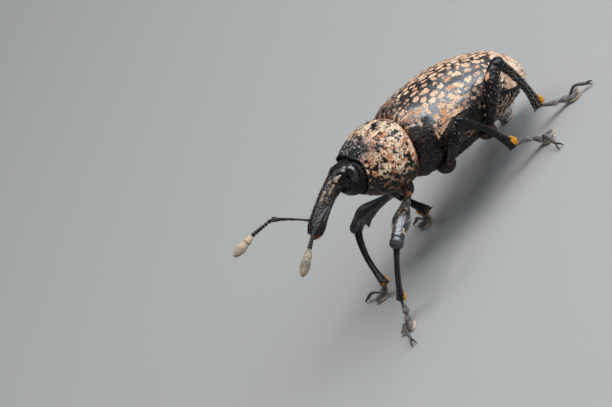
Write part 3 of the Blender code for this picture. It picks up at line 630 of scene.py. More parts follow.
def hindbody(looks):
    """Breast and belly in one skin, from inside the prothorax to the tail, with their seams and plates."""
    s = np.linspace(-0.35, 10.62, 250)
    at = np.maximum(s, 0.0)
    neck = 0.30 * (1 - ease(-0.05, 0.22, s))
    inset = 0.06 + neck + 0.10 * ease(9.0, 10.3, s)
    end = 1 - 0.93 * ease(10.05, 10.64, s) ** 2
    columns = 100
    share = np.linspace(0, 1, 240)[None, :]
    top_turn = edge_turn(at)[:, None] + 0.10
    turn = -math.pi / 2 + (top_turn + math.pi / 2) * share
    l, u = section(HINDBODY, at, turn, inset[:, None], FLANK_POWER)
    middle = smooth(HINDBODY, at)[:, 2][:, None] - 0.25
    l, u = l * end[:, None], middle + (u - middle) * end[:, None]
    left = spread_evenly(np.stack([l, u], -1), columns)
    right = left[:, ::-1] * (-1, 1)
    ring = np.concatenate([left, right], axis=1)[:, :-1]
    s_grid = np.broadcast_to(s[:, None], ring.shape[:2])
    slant = front_slant(np.maximum(s_grid, 0), ring[..., 1])
    body = np.stack([-s_grid + slant, ring[..., 0], ring[..., 1]], -1)
    skin = Skin(placed(body))

    # Seams: between the belly's plates, round the side plate of the hind breast, and along the belly's edge
    edge = smooth(ELYTRON_EDGE, at)[:, 0][:, None]
    below = edge - ring[..., 1]
    breast = 1 - ease(4.6, 4.8, s_grid)
    seams = sum(around(at_seam, s_grid, 0.05) for at_seam in VENTRITES) * ease(-0.2, 0.1, below)
    seams = seams + around(0.78, below, 0.035) * breast * ease(1.7, 1.9, s_grid)
    seams = seams + around(1.72 + 0.25 * (below - 1.0), s_grid, 0.045) * ease(0.0, 0.2, below)
    seams = seams + 0.7 * around(0.0, ring[..., 0], 0.035) * breast
    wrinkle = 0.6 * rough_noise(body * (2.2, 1, 0.8), 0.30, 61)
    wrinkle = wrinkle + 0.4 * rough_noise(body * (0.8, 1, 2.5), 0.28, 65)
    near, second, draw = cells(body, 0.20, 62)
    hollow = ease(0.42, 0.12, near)
    flank = ease(0.9, 0.2, np.abs(below - 0.9))
    height = -0.09 * np.minimum(seams, 1) + (0.13 + 0.11 * ease(1.5, 2.0, s_grid)) * (wrinkle - 0.5)
    height = height - 0.05 * hollow
    skin.lift(height * ease(-0.3, 0.3, s_grid))

    patchy = rough_noise(body, 0.7, 63)
    behind_leg = around(2.9, s_grid, 0.75) * around(1.5, below, 0.6)
    belly = ease(4.8, 5.6, s_grid)
    amount = 0.33 + 0.26 * behind_leg + 0.41 * belly * ease(0.1, 0.4, below)
    amount = amount - 0.06 * (1 - ease(1.6, 2.2, s_grid))
    scaly = ease(0.0, 0.10, amount - patchy) * ease(0.52, 0.34, near) * (draw > 0.25)
    colour = mix(ORANGE_TAN, PALE_TAN, np.clip(0.2 + 0.75 * belly + 0.5 * (draw - 0.5), 0, 1))
    skin.paint(BROWN_BLACK, 0.35 * ease(0.45, 0.75, noise(body, 0.8, 64)))
    skin.paint(RUST, 0.20 * np.minimum(seams, 1) * flank + 0.25 * ease(0.44, 0.38, wrinkle) * breast)
    skin.paint(colour, 0.85 * scaly)
    hanging = ease(1.35, 1.50, s_grid) * ease(0.05, -0.08, below - 0.72 + 0.50 * (s_grid - 1.55))
    hanging = hanging * ease(0.06, 0.0, rough_noise(body, 0.34, 67) - 0.62)
    hanging = hanging * ease(0.03, 0.12, second - near)
    skin.paint(grainy(mix(TAN, PALE_TAN, noise(body, 0.5, 68)), body, 69), hanging)
    skin.flecks = np.maximum(scaly, hanging)
    skin.scaly = np.maximum(skin.flecks, 0.35 * breast * ease(1.5, 0.9, below))
    # Painted shade: the front of the hind body, tucked inside the prothorax, is painted darker black.
    skin.paint(BLACK * 0.6, 0.9 * (1 - ease(-0.1, 0.3, s_grid)))
    piece("breast_and_belly_skin", [skin], looks["cuticle"], "black_cuticle", "thorax", "abdomen")
    return skin


def scutellum(looks):
    """The small shield between the wing covers' bases."""
    height = smooth(HINDBODY, 0.75)[0][1]
    middle = placed((-0.80, 0.0, height - 0.10))
    axes = [direction((1, 0, 0.05)), direction((0, 1, 0)), direction((0, 0, 1))]
    skin = Skin(globe(middle, axes, (0.36, 0.26, 0.14), 24, 40))
    skin.lift(0.02 * (noise(skin.points, 0.12, 71) - 0.5))
    skin.paint(BROWN_BLACK, 0.5 + 0 * skin.scaly)
    piece("scutellum_shield", [skin], looks["cuticle"], "black_cuticle", "scutellum")


# Prothorax, head and antennae


def prothorax(looks):
    """A barrel rough with black bosses, whose hollows hold tan scales, rolled in at both ends."""
    back = ((0.22, 0.88), (0.08, 0.925), (0.02, 0.955), (0.0, 0.985))
    length = PROTHORAX[-1][0]
    front = ((length + 0.02, 0.985), (length + 0.01, 0.94), (length - 0.06, 0.89), (length - 0.24, 0.84))
    middle_f = np.linspace(0.03, length, 108)
    f = np.array([row[0] for row in back] + list(middle_f) + [row[0] for row in front])
    shrink = np.array([row[1] for row in back] + [1.0] * len(middle_f) + [row[1] for row in front])
    columns = 420
    turn = np.linspace(-math.pi / 2, 1.5 * math.pi, 900)[None, :] + 0 * f[:, None]
    l, u = section(PROTHORAX, np.clip(f, 0, length), turn)
    middle = smooth(PROTHORAX, np.clip(f, 0, length))[:, 2][:, None]
    l, u = l * shrink[:, None], middle + (u - middle) * shrink[:, None]
    ring = spread_evenly(np.stack([l, u], -1), columns + 1)[:, :-1]
    f_grid = np.broadcast_to(f[:, None], ring.shape[:2])
    slope = np.degrees(np.arctan2(ring[..., 1] - middle, np.abs(ring[..., 0])))
    cut_back = 0.36 * ease(2.3, 3.7, f_grid) * ease(55, 20, slope)
    body = np.stack([f_grid - cut_back, ring[..., 0], ring[..., 1]], -1)
    skin = Skin(placed(raised(body)))
    top = ease(30, 70, slope)
    under = ease(-12, -45, slope)
    front_top = ease(2.1, 3.0, f_grid) * ease(10, 45, slope)
    stretched = body / np.stack([1 + 0.5 * top, 1 + 0 * top, 1 + 0 * top], -1)
    warp = 0.34 * (np.stack([rough_noise(body, 0.30, 81 + 4 * k) for k in range(3)], -1) - 0.5)
    near, second, draw = cells(stretched + warp, 0.34, 82)
    boss_size = 0.15 + 0.27 * draw + 0.44 * (rough_noise(body, 0.8, 83) - 0.5)
    boss_size = boss_size + 0.20 * under + 0.03 * top
    callus = around(1.30, f_grid, 0.30) * around(0.95, np.abs(ring[..., 0]), 0.30) * ease(0, 20, slope)
    boss = ease(0.07, -0.07, near - boss_size - 0.5 * callus)
    crest = around(0.0, ring[..., 0], 0.05) * ease(0, 1, ring[..., 1]) * ease(0.5, 1.0, f_grid)
    boss = np.clip(boss + 0.6 * crest, 0, 1)
    inner = ease(0.12, 0.35, f_grid) * ease(length - 0.01, length - 0.14, f_grid)
    height = 0.055 * boss * inner * (1 - 0.5 * (near / boss_size).clip(0, 1) ** 2) - 0.02 * inner
    height = height + 0.03 * inner * (noise(body, 0.08, 84) - 0.5) * (1 - boss)
    height = height - 0.05 * around(0.24, f_grid, 0.05) - 0.03 * around(length - 0.12, f_grid, 0.05)
    skin.lift(height)

    scaly = (1 - boss) * ease(0.05, 0.16, f_grid) * ease(length - 0.03, length - 0.10, f_grid)
    thin = rough_noise(body, 0.32, 85)
    thin_limit = 0.62 - 0.20 * under
    scaly = scaly * ease(thin_limit + 0.05, thin_limit - 0.04, thin) * ease(0.02, 0.11, second - near)
    near, _, draw = cells(body, 0.17, 90)
    dots = ease(0.32, 0.22, near) * (draw > 0.45)
    scaly = scaly * (1 - front_top) + np.maximum(0.6 * scaly * (draw > 0.7), dots) * front_top
    pale = np.clip(0.3 + 0.9 * noise(body, 0.7, 86) + 0.25 * top, 0, 1)
    colour = mix(TAN, PALE_TAN, pale)
    brown = 0.8 * ease(0.53, 0.72, noise(body, 0.5, 87)) + 0.7 * under + 0.7 * ease(0.6, 0.05, scaly)
    colour = mix(colour, ORANGE_TAN, np.clip(brown, 0, 1))
    colour = mix(colour, RUST, 0.5 * under * ease(0.4, 0.6, noise(body, 0.3, 88)))
    colour = mix(colour, GREY_WHITE * 0.7, 0.75 * front_top)
    skin.paint(BROWN_BLACK, 0.6 * under)
    skin.paint(grainy(colour, body, 89, 0.68), scaly)
    skin.paint(RUST * 0.7, 0.8 * around(0.05, f_grid, 0.05))
    skin.scaly = np.maximum(scaly, 0.6 * front_top)
    piece("prothorax_skin", [skin], looks["cuticle"], "mottled_cuticle", "prothorax")
    return skin


def face_reach():
    """How far along the face's line each of its stations lies."""
    rows = np.array(FACE)
    return np.concatenate([[0], np.cumsum(np.hypot(np.diff(rows[:, 0]), np.diff(rows[:, 1])))])


def face_line(at):
    """Middle (f, u), half width, half height and slope of the head and rostrum."""
    table = np.column_stack([face_reach(), FACE])
    line = smooth(table, at)
    ahead = smooth(table, at + 0.03)[:, :2] - smooth(table, at - 0.03)[:, :2]
    return line, np.arctan2(ahead[:, 1], ahead[:, 0])


HEAD_LENGTH = 1.95
SCROBE_FROM, SCROBE_TO = 2.7, 4.75


def head(looks):
    """Head and rostrum in one skin, with the scrobes, fine pits and lines of tan scales."""
    end = face_reach()[-1]
    at = np.concatenate([np.linspace(0.0, end, 176), [end + 0.03, end + 0.05]])
    shrink = np.concatenate([np.ones(174), [0.985, 0.94, 0.82, 0.55]])
    line, slope = face_line(np.minimum(at, end))
    turn = turns(150)[None, :] + 0 * at[:, None]
    half, tall = (line[:, 2] * shrink)[:, None], (line[:, 3] * shrink)[:, None]
    along = at[:, None] + 0 * turn
    snout = ease(HEAD_LENGTH - 0.25, HEAD_LENGTH + 0.4, along)
    tip = ease(5.3, 5.8, along)
    degrees = np.degrees(np.arctan2(np.sin(turn), np.abs(np.cos(turn))))

    # Grooves, ridges and pits
    back = np.clip((SCROBE_TO - along) / (SCROBE_TO - SCROBE_FROM), 0, 1)
    in_groove = ease(SCROBE_FROM - 0.1, SCROBE_FROM + 0.4, along)
    in_groove = in_groove * ease(SCROBE_TO + 0.15, SCROBE_TO - 0.1, along)
    scrobe = around(4 - 66 * back, degrees, 11) * in_groove
    lip = around(24 - 66 * back, degrees, 8) * in_groove
    ridge = 0.5 + 0.5 * np.cos(np.radians(degrees) * 10)
    v = tall * np.sin(turn)
    slope = slope[:, None]
    f, u = line[:, 0][:, None] - v * np.sin(slope), line[:, 1][:, None] + v * np.cos(slope)
    body = np.stack([f, half * np.cos(turn), u], -1)
    skin = Skin(placed(body))
    near, _, draw = cells(body, 0.15, 91)
    pitted = ease(0.48, 0.12, near) * (0.25 + 0.75 * snout)
    dots = ease(0.30, 0.16, near) * (draw > 0.35)
    upper = ease(-10, 25, degrees)
    height = -0.19 * scrobe + 0.05 * lip - 0.045 * pitted + 0.030 * snout * upper * (ridge - 0.5) * (1 - tip)
    height = height + 0.03 * snout * (rough_noise(body, 0.2, 95) - 0.5)
    rim = np.linalg.norm((np.abs(body) - EYE_AT) / (np.array(EYE_SIZE) + 0.10), axis=-1)
    eye_rim = around(1.12, rim, 0.14) * (1 - snout)
    height = height - 0.06 * ease(1.15, 0.9, rim) + 0.03 * eye_rim
    height = height - 0.03 * around(HEAD_LENGTH - 0.15, along, 0.12) * upper
    skin.lift(height)

    # Two lines of tan flecks on each side of the snout, and a pale patch before the eye
    flecks = rough_noise(body, 0.17, 92)
    lines = around(56, degrees, 14) + 0.95 * around(22, degrees, 9)
    scaly = lines * snout * ease(4.4, 3.1, along)
    scaly = scaly * ease(HEAD_LENGTH - 0.2, HEAD_LENGTH + 0.3, along)
    scaly = ease(0.0, 0.08, 0.57 * np.clip(scaly, 0, 1) - flecks) * (1 - scrobe) * ease(0.18, 0.32, near)
    front_patch = ease(0.9, 1.3, along) * ease(2.6, 2.1, along) * around(30, degrees, 20)
    grey = ease(0.0, 0.05, 0.54 * front_patch - flecks) * ease(1.0, 1.25, rim)
    colour = mix(TAN * 0.6, PALE_TAN, 0.55 * noise(body, 0.5, 93))
    colour = colour * (0.7 + 0.5 * noise(body, 0.06, 94))[..., None]
    skin.paint(BROWN_BLACK, 0.25 * snout)
    skin.paint(colour, 0.9 * scaly)
    skin.paint(mix(GREY_WHITE, TAN, ease(0.5, 0.7, draw)), 0.8 * grey)
    # Grey-white dots at the pits of the snout's upper half: partly scales, which the coat sets there, and
    # partly painted glints.
    dots = dots * snout * ease(-20, 0, degrees) * ease(4.4, 3.2, along)
    skin.paint(mix(GREY_WHITE, TAN, 0.4 + 0 * dots), 0.35 * dots)
    # Painted highlight: a thin grey-white line along the lip of the scrobe.
    skin.paint(GREY_WHITE, 0.35 * around(20 - 66 * back, degrees, 4) * in_groove)
    skin.paint(RUST, 0.45 * ease(5.75, 6.0, along))
    # Painted shade: the back of the head, where it sinks into the prothorax behind the eye, is painted darker
    # black.
    skin.paint(BLACK * 0.5, 0.9 * ease(1.3, 0.9, along))
    skin.flecks = np.maximum(np.maximum(scaly, grey), 0.5 * dots)
    skin.scaly = np.maximum(skin.flecks, 0.35 * ease(1.3, 0.9, along))

    # Jaws and the bits beside them
    skins = [skin]
    f, u = FACE[-1][:2]
    for side in (-1, 1):
        axes = [direction(axis) for axis in ((0.2, side, 0), (0.62, 0, 0.76), (0.76, -0.2 * side, -0.62))]
        jaw = Skin(globe(placed((f - 0.02, side * 0.19, u - 0.02)), axes, (0.16, 0.19, 0.33), 20, 28))
        jaw.paint(RUST, 0.5 + 0 * jaw.scaly)
        feeler = Skin(globe(placed((f - 0.06, side * 0.34, u - 0.18)), axes, (0.07, 0.07, 0.17), 12, 14))
        feeler.paint(ORANGE_TAN, 0.8 + 0 * feeler.scaly)
        skins += [jaw, feeler]
    piece("head_skin", skins, looks["cuticle"], "black_cuticle", "head", "rostrum")
    return skin


def eyes(looks):
    for side, sign in (("left", 1), ("right", -1)):
        f, l, u = EYE_AT
        axes = [direction((0, 0, 1)), direction((1, 0, 0)), direction((0, sign, 0))]
        size = (EYE_SIZE[2] + 0.08, EYE_SIZE[0] + 0.07, EYE_SIZE[1] + 0.10)
        skin = Skin(globe(placed((f, sign * l, u)), axes, size, 60, 96))
        piece(f"eye_ball_{side}", [skin], looks["eye"], "eye", f"eye_{side}")


# Along the piece as a share of its length: half thickness
SCAPE_PROFILE = (
    (0.0, 0.09), (0.06, 0.11), (0.2, 0.075), (0.5, 0.085),
    (0.8, 0.12), (0.93, 0.165), (0.985, 0.14), (1.0, 0.04),
)
CLUB_PROFILE = (
    (0.0, 0.07), (0.06, 0.14), (0.20, 0.235), (0.31, 0.28), (0.335, 0.27),
    (0.55, 0.32), (0.66, 0.325), (0.69, 0.315), (0.82, 0.27), (0.93, 0.165), (0.985, 0.07), (1.0, 0.015),
)
BEAD_LENGTHS = np.array([1.5, 1.25, 1.0, 0.9, 0.9, 0.95, 1.1])


def antenna(side, looks):
    """The thin scape, the funicle's beads after the elbow, and the velvety club."""
    sign = 1 if side == "left" else -1
    up = unit((0.0, 0.3, 1.0))
    start = placed((INSERTION[0], sign * INSERTION[1], INSERTION[2]))
    ahead = unit(SCAPE_TOWARD[side])
    t = np.linspace(0, 1, 76)
    sag = np.outer(0.10 * np.sin(math.pi * t), (0, 0, 1.0))
    half = smooth(SCAPE_PROFILE, t)[:, 0]
    scape = Skin(tube(start + np.outer(t * SCAPE_LENGTH, ahead) + sag, half, half, up, 28))
    scape.lift(-0.008 * ease(0.4, 0.2, cells(scape.points, 0.10, 101)[0]))
    piece(f"antenna_{side}_scape_skin", [scape], looks["cuticle"], "black_cuticle", f"antenna_{side}_scape")

    elbow = start + ahead * SCAPE_LENGTH
    ahead = unit(FUNICLE_TOWARD[side])
    ends = np.concatenate([[0], np.cumsum(BEAD_LENGTHS)]) / BEAD_LENGTHS.sum() * FUNICLE_LENGTH
    beads = []
    t = np.linspace(0, 1, 18)
    for k in range(len(BEAD_LENGTHS)):
        full = 0.118 + 0.008 * k + (0.025 if k == 0 else 0)
        swell = 0.30 + 0.70 * np.sin(math.pi * np.clip(t * 0.93 + 0.05, 0, 1)) ** 0.7
        half = full * swell * (0.82 + 0.25 * t)
        half[-1] *= 0.5
        path = elbow + np.outer(ends[k] + t * (ends[k + 1] - ends[k]) * 1.02, ahead)
        bead = Skin(tube(path, half, half, up, 24))
        bead.paint(PALE_HAIR, 0.45 * ease(0.80, 0.98, t)[:, None] + 0 * bead.scaly)
        beads.append(bead)
    piece(f"antenna_{side}_funicle_skin", beads, looks["cuticle"], "black_cuticle", f"antenna_{side}_funicle")

    start = elbow + ahead * FUNICLE_LENGTH
    ahead = unit(CLUB_TOWARD[side])
    t = np.linspace(0, 1, 80)
    half = smooth(CLUB_PROFILE, t)[:, 0]
    club = Skin(tube(start - ahead * 0.04 + np.outer(t * CLUB_LENGTH, ahead), half, half * 0.88, up, 64))
    club.lift(0.012 * (noise(club.points, 0.05, 103) - 0.5))
    t = t[:, None] + 0 * club.scaly
    streaks = noise(club.points, 0.10, 104)
    club.colour = mix(CLUB_GREY * 0.75, CLUB_GREY * 1.25, streaks)
    if side == "left":
        # Painted shading: the middle of the near club, on its side turned toward the camera, is darker mauve
        # than its rim.
        facing = ease(-0.3, 0.75, club.normals() @ unit((1.0, -0.2, 0.3)))
        club.paint(MAUVE * 0.6, 0.85 * around(0.55, t, 0.24) * facing)
        club.paint(MAUVE * 0.7, 0.8 * ease(0.30, 0.05, t))
    else:
        club.paint(BROWN_BLACK, 0.8 * around(0.325, t, 0.020) + 0.25 * around(0.68, t, 0.018))
    club.paint(BROWN_BLACK, 0.9 * ease(0.07, 0.02, t))
    club.scaly += 1
    piece(f"antenna_{side}_club_skin", [club], looks["cuticle"], "club", f"antenna_{side}_club")
    return scape, club


# Legs


def leg_points(leg):
    """The femur's root, knee and ankle, with the named lengths, and the pad and claws on the floor."""
    pair, side = leg.split("_")
    sign = 1 if side == "left" else -1
    knee, ankle, pad, claws = (np.array(p, float) for p in STANCE[leg])
    f, l, u = COXA[pair]
    root = placed((f, sign * l, u))
    knee = root + unit(knee - root) * FEMUR_LENGTH[pair]
    ankle = knee + unit(ankle - knee) * TIBIA_LENGTH[pair]
    return root, knee, ankle, np.array((*pad, PAD_HEIGHT)), np.array((*claws, CLAW_HEIGHT))


def coxa(name, looks):
    pair, side = name.split("_")
    sign = 1 if side == "left" else -1
    f, l, u = COXA[pair]
    middle = placed((f + COXA_AHEAD[pair], sign * l, u)) + direction((0, 0, 1)) * COXA_RISE
    axes = [direction((1, 0, 0)), direction((0, sign, 0)), direction((0, 0, 1))]
    skin = Skin(globe(middle, axes, np.array(COXA_SIZE[pair]) + 0.06, 44, 72))
    near = cells(skin.points, 0.22, 111)[0]
    skin.lift(-0.025 * ease(0.4, 0.15, near) + 0.02 * (rough_noise(skin.points, 0.2, 112) - 0.5))
    skin.paint(BROWN_BLACK, 0.6 * noise(skin.points, 0.5, 113))
    scaly = ease(0.0, 0.1, 0.34 - rough_noise(skin.points, 0.3, 114))
    skin.paint(ORANGE_TAN, 0.5 * scaly)
    skin.scaly = scaly
    piece(f"coxa_{name}_skin", [skin], looks["cuticle"], "black_cuticle", "coxa_" + name)
    return skin


# How far tan flecks cover each pair's femora, and how much more beside the knee
FLECKED = {"fore": (0.29, 0.32), "mid": (0.08, 0.06), "hind": (0.20, 0.06)}


def femur(name, looks):
    """A reddish root, a club with a tooth on its flexor side, and a round dull knee slotted for the tibia."""
    pair, side = name.split("_")
    sign = 1 if side == "left" else -1
    root, knee, ankle = leg_points(name)[:3]
    along = unit(knee - root)
    shin = unit(ankle - knee)
    flexor = unit(shin - along * (shin @ along))
    near_tooth = np.linspace(TOOTH_AT - 0.075, TOOTH_AT + 0.075, 33)
    t = np.unique(np.concatenate([np.linspace(0, 1.079, 112), near_tooth]).round(4))
    across, deep = smooth(FEMUR_PROFILE, t).T
    bow = np.outer(FEMUR_BOW[pair] * np.sin(math.pi * t), (sign * BOW_TOWARD[0], *BOW_TOWARD[1:]))
    arch = np.outer(FEMUR_ARCH[pair] * np.sin(math.pi * np.minimum(1, t) ** 2.2), flexor)
    length = FEMUR_LENGTH[pair]
    path = root + np.outer(t * length, along) + bow - arch
    columns = 84
    skin = Skin(tube(path, across, deep, -flexor, columns))
    t = t[:, None] + 0 * skin.scaly
    turn = turns(columns)[None, :] + 0 * t
    below = -np.sin(turn)

    # The tooth, the constriction before the knee's globe, and the slot that the tibia folds into
    aside = np.cos(turn) * across[:, None]
    reach = np.where(t < TOOTH_AT, 0.62, 0.17)
    cone = 1 - np.hypot((t - TOOTH_AT) * length / reach, aside / 0.27)
    cone = np.where(below > 0, np.maximum(cone, 0), 0) ** 1.15
    skin.points = skin.points + cone[..., None] * TOOTH_LENGTH[pair] * (flexor + 0.10 * along)
    slot = ease(0.955, 1.0, t) * ease(0.26, 0.12, np.abs(aside)) * ease(-0.1, 0.3, below)
    near, _, draw = cells(skin.points, 0.13, 121)
    pits = ease(0.45, 0.15, near) * ease(0.12, 0.25, t) * ease(0.97, 0.92, t)
    height = -0.20 * slot - 0.016 * pits - 0.03 * around(0.93, t, 0.016) - 0.03 * around(0.105, t, 0.012)
    height = height + 0.02 * (rough_noise(skin.points, 0.35, 122) - 0.5)
    skin.lift(height * ease(0, 0.02, t) * ease(1.08, 1.06, t))

    patchy = rough_noise(skin.points, 0.22, 123)
    near_knee = around(0.83, t, 0.06) * ease(0.5, 0.9, np.abs(np.cos(turn)))
    # Painted shade: the far fore leg's femur is flecked less than the near one's.
    all_over, more_at_knee = (0.20, 0.10) if name == "fore_right" else FLECKED[pair]
    amount = all_over + more_at_knee * near_knee
    if name == "fore_left":
        amount = amount - 0.14 * ease(0.45, 0.60, t) * ease(0.75, 0.35, np.abs(np.cos(turn)))
    scaly = ease(0.0, 0.03, amount - patchy) * ease(0.42, 0.32, near)
    scaly = scaly * ease(0.15, 0.25, t) * ease(0.95, 0.91, t)
    skin.paint(RUST * (1.4, 1.1, 1.5), 0.8 * ease(0.19, 0.13, t) * ease(0.62, 0.42, patchy))
    speck = mix(TAN, PALE_TAN, draw) if pair == "fore" else mix(ORANGE_TAN, TAN, draw) * 0.7
    skin.paint(speck, 0.85 * scaly)
    if pair == "hind":
        flag = np.hypot((t - 0.80) / 0.050, (np.degrees(turn) - 66) / 17)
        flag = ease(1.05, 0.85, flag + 0.8 * (rough_noise(skin.points, 0.2, 124) - 0.5))
        skin.paint(mix(ORANGE_TAN, TAN, draw), flag)
        scaly = np.maximum(scaly, flag)
    skin.paint(MAUVE * 0.2, 0.4 * ease(0.94, 0.97, t) * (pair == "fore"))
    skin.scaly = np.maximum(scaly, (0.25 if pair == "fore" else 0.08) * ease(0.93, 0.97, t))
    look = looks["shell" if pair == "fore" else "cuticle"]
    piece(f"femur_{name}_skin", [skin], look, "black_cuticle", "femur_" + name)
    return skin


def tibia(name, looks):
    """Ridged, bowed near the knee, widened at the end, with a hook on the inner side."""
    pair = name.split("_")[0]
    root, knee, ankle = leg_points(name)[:3]
    along = unit(knee - root)
    shin = unit(ankle - knee)
    inner = unit(-along - shin * (-along @ shin))
    t = np.linspace(0, 1, 112)
    length = TIBIA_LENGTH[pair] - 0.04
    start = 0.30 / length
    bow = np.outer(TIBIA_BOW[pair] * np.sin(math.pi * np.clip((t - start) / (1 - start), 0, 1) ** 0.8), inner)
    path = knee + np.outer(0.04 + t * length, shin) - bow
    half = TIBIA_HALF[pair] * smooth(TIBIA_PROFILE, t)[:, 0]
    deep = half * (1 + TIBIA_ROOT[pair] * ease(0.03, 0.10, t) * ease(0.55, 0.15, t))
    columns = 64
    skin = Skin(tube(path, 0.9 * half, deep, -inner, columns))
    t = t[:, None] + 0 * skin.scaly
    turn = turns(columns)[None, :] + 0 * t
    ridges = 0.5 + 0.5 * np.cos(8 * turn)
    height = (0.005 if pair == "mid" else 0.008) * (ridges - 0.5) * ease(0.04, 0.12, t) * ease(1.0, 0.9, t)
    height = height + 0.020 * (rough_noise(skin.points, 0.13, 131) - 0.5)
    skin.lift(height * ease(1.0, 0.985, t))
    scaly = ease(0.0, 0.12, 0.32 - rough_noise(skin.points, 0.25, 132)) * ease(0.05, 0.1, t)
    skin.paint(BROWN_BLACK, 0.35 * ease(0.75, 1.0, t))
    skin.paint(RUST, 0.3 * ease(0.975, 0.99, t))
    skin.scaly = 0.6 * scaly
    skin.inner = inner

    guides = ((-0.35, 0.0), (-0.05, 0.45), (0.12, 1.0))
    guides = [ankle + shin * down + inner * out * HOOK_LENGTH for down, out in guides]
    hook_path = curve_through(guides, 34)
    r = 0.14 * (1 - np.linspace(0, 1, 34) ** 1.6) + 0.012
    hook = Skin(tube(hook_path, r, r, shin, 24))
    piece(f"tibia_{name}_skin", [skin, hook], looks["cuticle"], "black_cuticle", "tibia_" + name)
    return skin


def on_floor(skin):
    skin.points[..., 2] = np.maximum(skin.points[..., 2], 0.0)
    return skin


# Start and end along the line to the pad, half width at each
TARSUS_JOINTS = ((0.0, 0.56, 0.10, 0.20), (0.47, 0.90, 0.10, 0.23), (0.80, 1.0, 0.11, 0.17))


def tarsus(name, looks):
    """Two flared joints, the two-lobed pad on the floor, then the claw joint with its two curved claws."""
    ankle, pad, toe = leg_points(name)[2:]
    first = ankle + unit(pad - ankle) * 0.10
    line = curve_through([first, (first + pad) / 2 + UP * TARSUS_RISE[name], pad], 121)
    ahead = unit((toe - pad) * (1, 1, 0))
    across = np.cross(UP, ahead)
    straight = unit(0.75 * unit((pad - ankle) * (1, 1, 0)) + 0.35 * ahead)
    beside = np.cross(UP, straight)
    skins = []
    for start, end, narrow, wide in TARSUS_JOINTS:
        path = curve_through(line[int(start * 120):int(end * 120) + 1], 44)
        t = np.linspace(0, 1, 44)
        half = narrow + (wide - narrow) * ease(0.05, 0.85, t) ** 1.3
        half = half * np.sqrt(np.clip(1 - ((t - 0.90) / 0.105).clip(0, 1) ** 2, 0.05, 1))
        half = half * ease(-0.12, 0.06, t)
        joint = Skin(tube(path, half, half * 0.82, UP, 48))
        joint.lift(0.018 * (rough_noise(joint.points, 0.10, 141) - 0.5))
        pale = 0.85 * noise(joint.points, 0.10, 142) * (0.3 + 0.7 * ease(0.55, 0.95, t)[:, None])
        joint.colour = mix(MAUVE * 0.18, MAUVE * 0.8, 0.15 + pale)
        joint.scaly += 0.55
        skins.append(on_floor(joint))
    lobes = []
    for side in (-1, 1):
        lobe_ahead = unit(straight + beside * side * 0.30)
        middle = pad + lobe_ahead * 0.28 + beside * side * 0.19 - UP * 0.07
        axes = (np.cross(UP, lobe_ahead), UP, lobe_ahead)
        lobe = Skin(globe(middle, axes, (0.25, 0.20, 0.48), 44, 56))
        lobe.lift(0.016 * (rough_noise(lobe.points, 0.08, 143) - 0.5))
        low = ease(0.26, 0.10, lobe.points[..., 2])
        lobe.colour = mix(MAUVE * 0.25, MAUVE * 0.9, noise(lobe.points, 0.10, 144))
        lobe.paint(CREAM * 0.8, 0.75 * low)
        lobe.scaly += 0.7
        lobe.low = low
        lobes.append(on_floor(lobe))
    skins += lobes

    last = toe + UP * 0.24 - ahead * 0.16
    path = curve_through([pad - ahead * 0.08, (pad + toe) / 2 + UP * CLAW_JOINT_RISE[name], last], 72)
    t = np.linspace(0, 1, 72)
    half = 0.065 + 0.045 * ease(0.1, 0.95, t)
    half = half * np.sqrt(np.clip(1 - ((t - 0.95) / 0.055).clip(0, 1) ** 2, 0.05, 1))
    joint = Skin(tube(path, half, half, UP, 36))
    joint.lift(0.010 * (rough_noise(joint.points, 0.08, 145) - 0.5))
    joint.colour = mix(BLACK, MAUVE * 0.6, 0.2 + 0.5 * noise(joint.points, 0.12, 146))
    joint.scaly += 0.4
    skins.append(on_floor(joint))
    for side in (-1, 1):
        start = last + across * side * 0.05
        tip = start + unit(ahead + across * side * 0.45) * 0.34
        tip[2] = 0.012
        bend = start + (tip - start) * 0.55 + unit(ahead + across * side * 0.3) * 0.13 + UP * 0.05
        path = curve_through([start, bend, tip], 40)
        t = np.linspace(0, 1, 40)
        r = 0.070 * (1 - t**1.7) + 0.008
        claw = Skin(tube(path, r * 0.8, r, UP, 24))
        claw.paint(RUST, 0.35 * ease(0.5, 0.0, t)[:, None] + 0 * claw.scaly)
        skins.append(on_floor(claw))
    piece(f"tarsus_{name}_skin", skins, looks["cuticle"], "tarsus", "tarsus_" + name)
    return skins[:2], lobes, joint


# The coat: flat scales and short hairs


def spots(skin, count, rng, density, columns):
    """Random places on a skin, spread by area and density, with the normal, the line along and the colour."""
    points, normals = skin.points, skin.normals()
    rings, around_count = points.shape[:2]
    right, down = np.roll(points, -1, 1)[:-1], points[1:]
    area = np.linalg.norm(np.cross(right - points[:-1], down - points[:-1]), axis=-1)
    if density is not None:
        area = area * np.asarray(density)[:-1]
    if columns is not None:
        area = area * columns[None, :]
    total = np.cumsum(area.ravel())
    draws = (np.arange(count) + rng.random(count)) / count * total[-1]
    chosen = np.minimum(np.searchsorted(total, draws), area.size - 1)
    i, j = np.divmod(chosen, around_count)
    k = (j + 1) % around_count
    a, b = rng.random(count), rng.random(count)

    def between(values):
        wa, wb = (a[:, None], b[:, None]) if values.ndim == 3 else (a, b)
        low = values[i, j] * (1 - wb) + values[i, k] * wb
        high = values[i + 1, j] * (1 - wb) + values[i + 1, k] * wb
        return low * (1 - wa) + high * wa

    at = between(points)
    normal = unit(between(normals))
    along = points[i + 1, j] - points[i, j]
    along = unit(along - normal * np.sum(along * normal, -1, keepdims=True))
    place = skin.on_map(np.column_stack([(i + a) / (rings - 1), (j + b) / around_count]))
    return place, at, normal, along, between(skin.colour)


SCALE_RISE = 0.12  # of a scale's outer end, as a share of its length


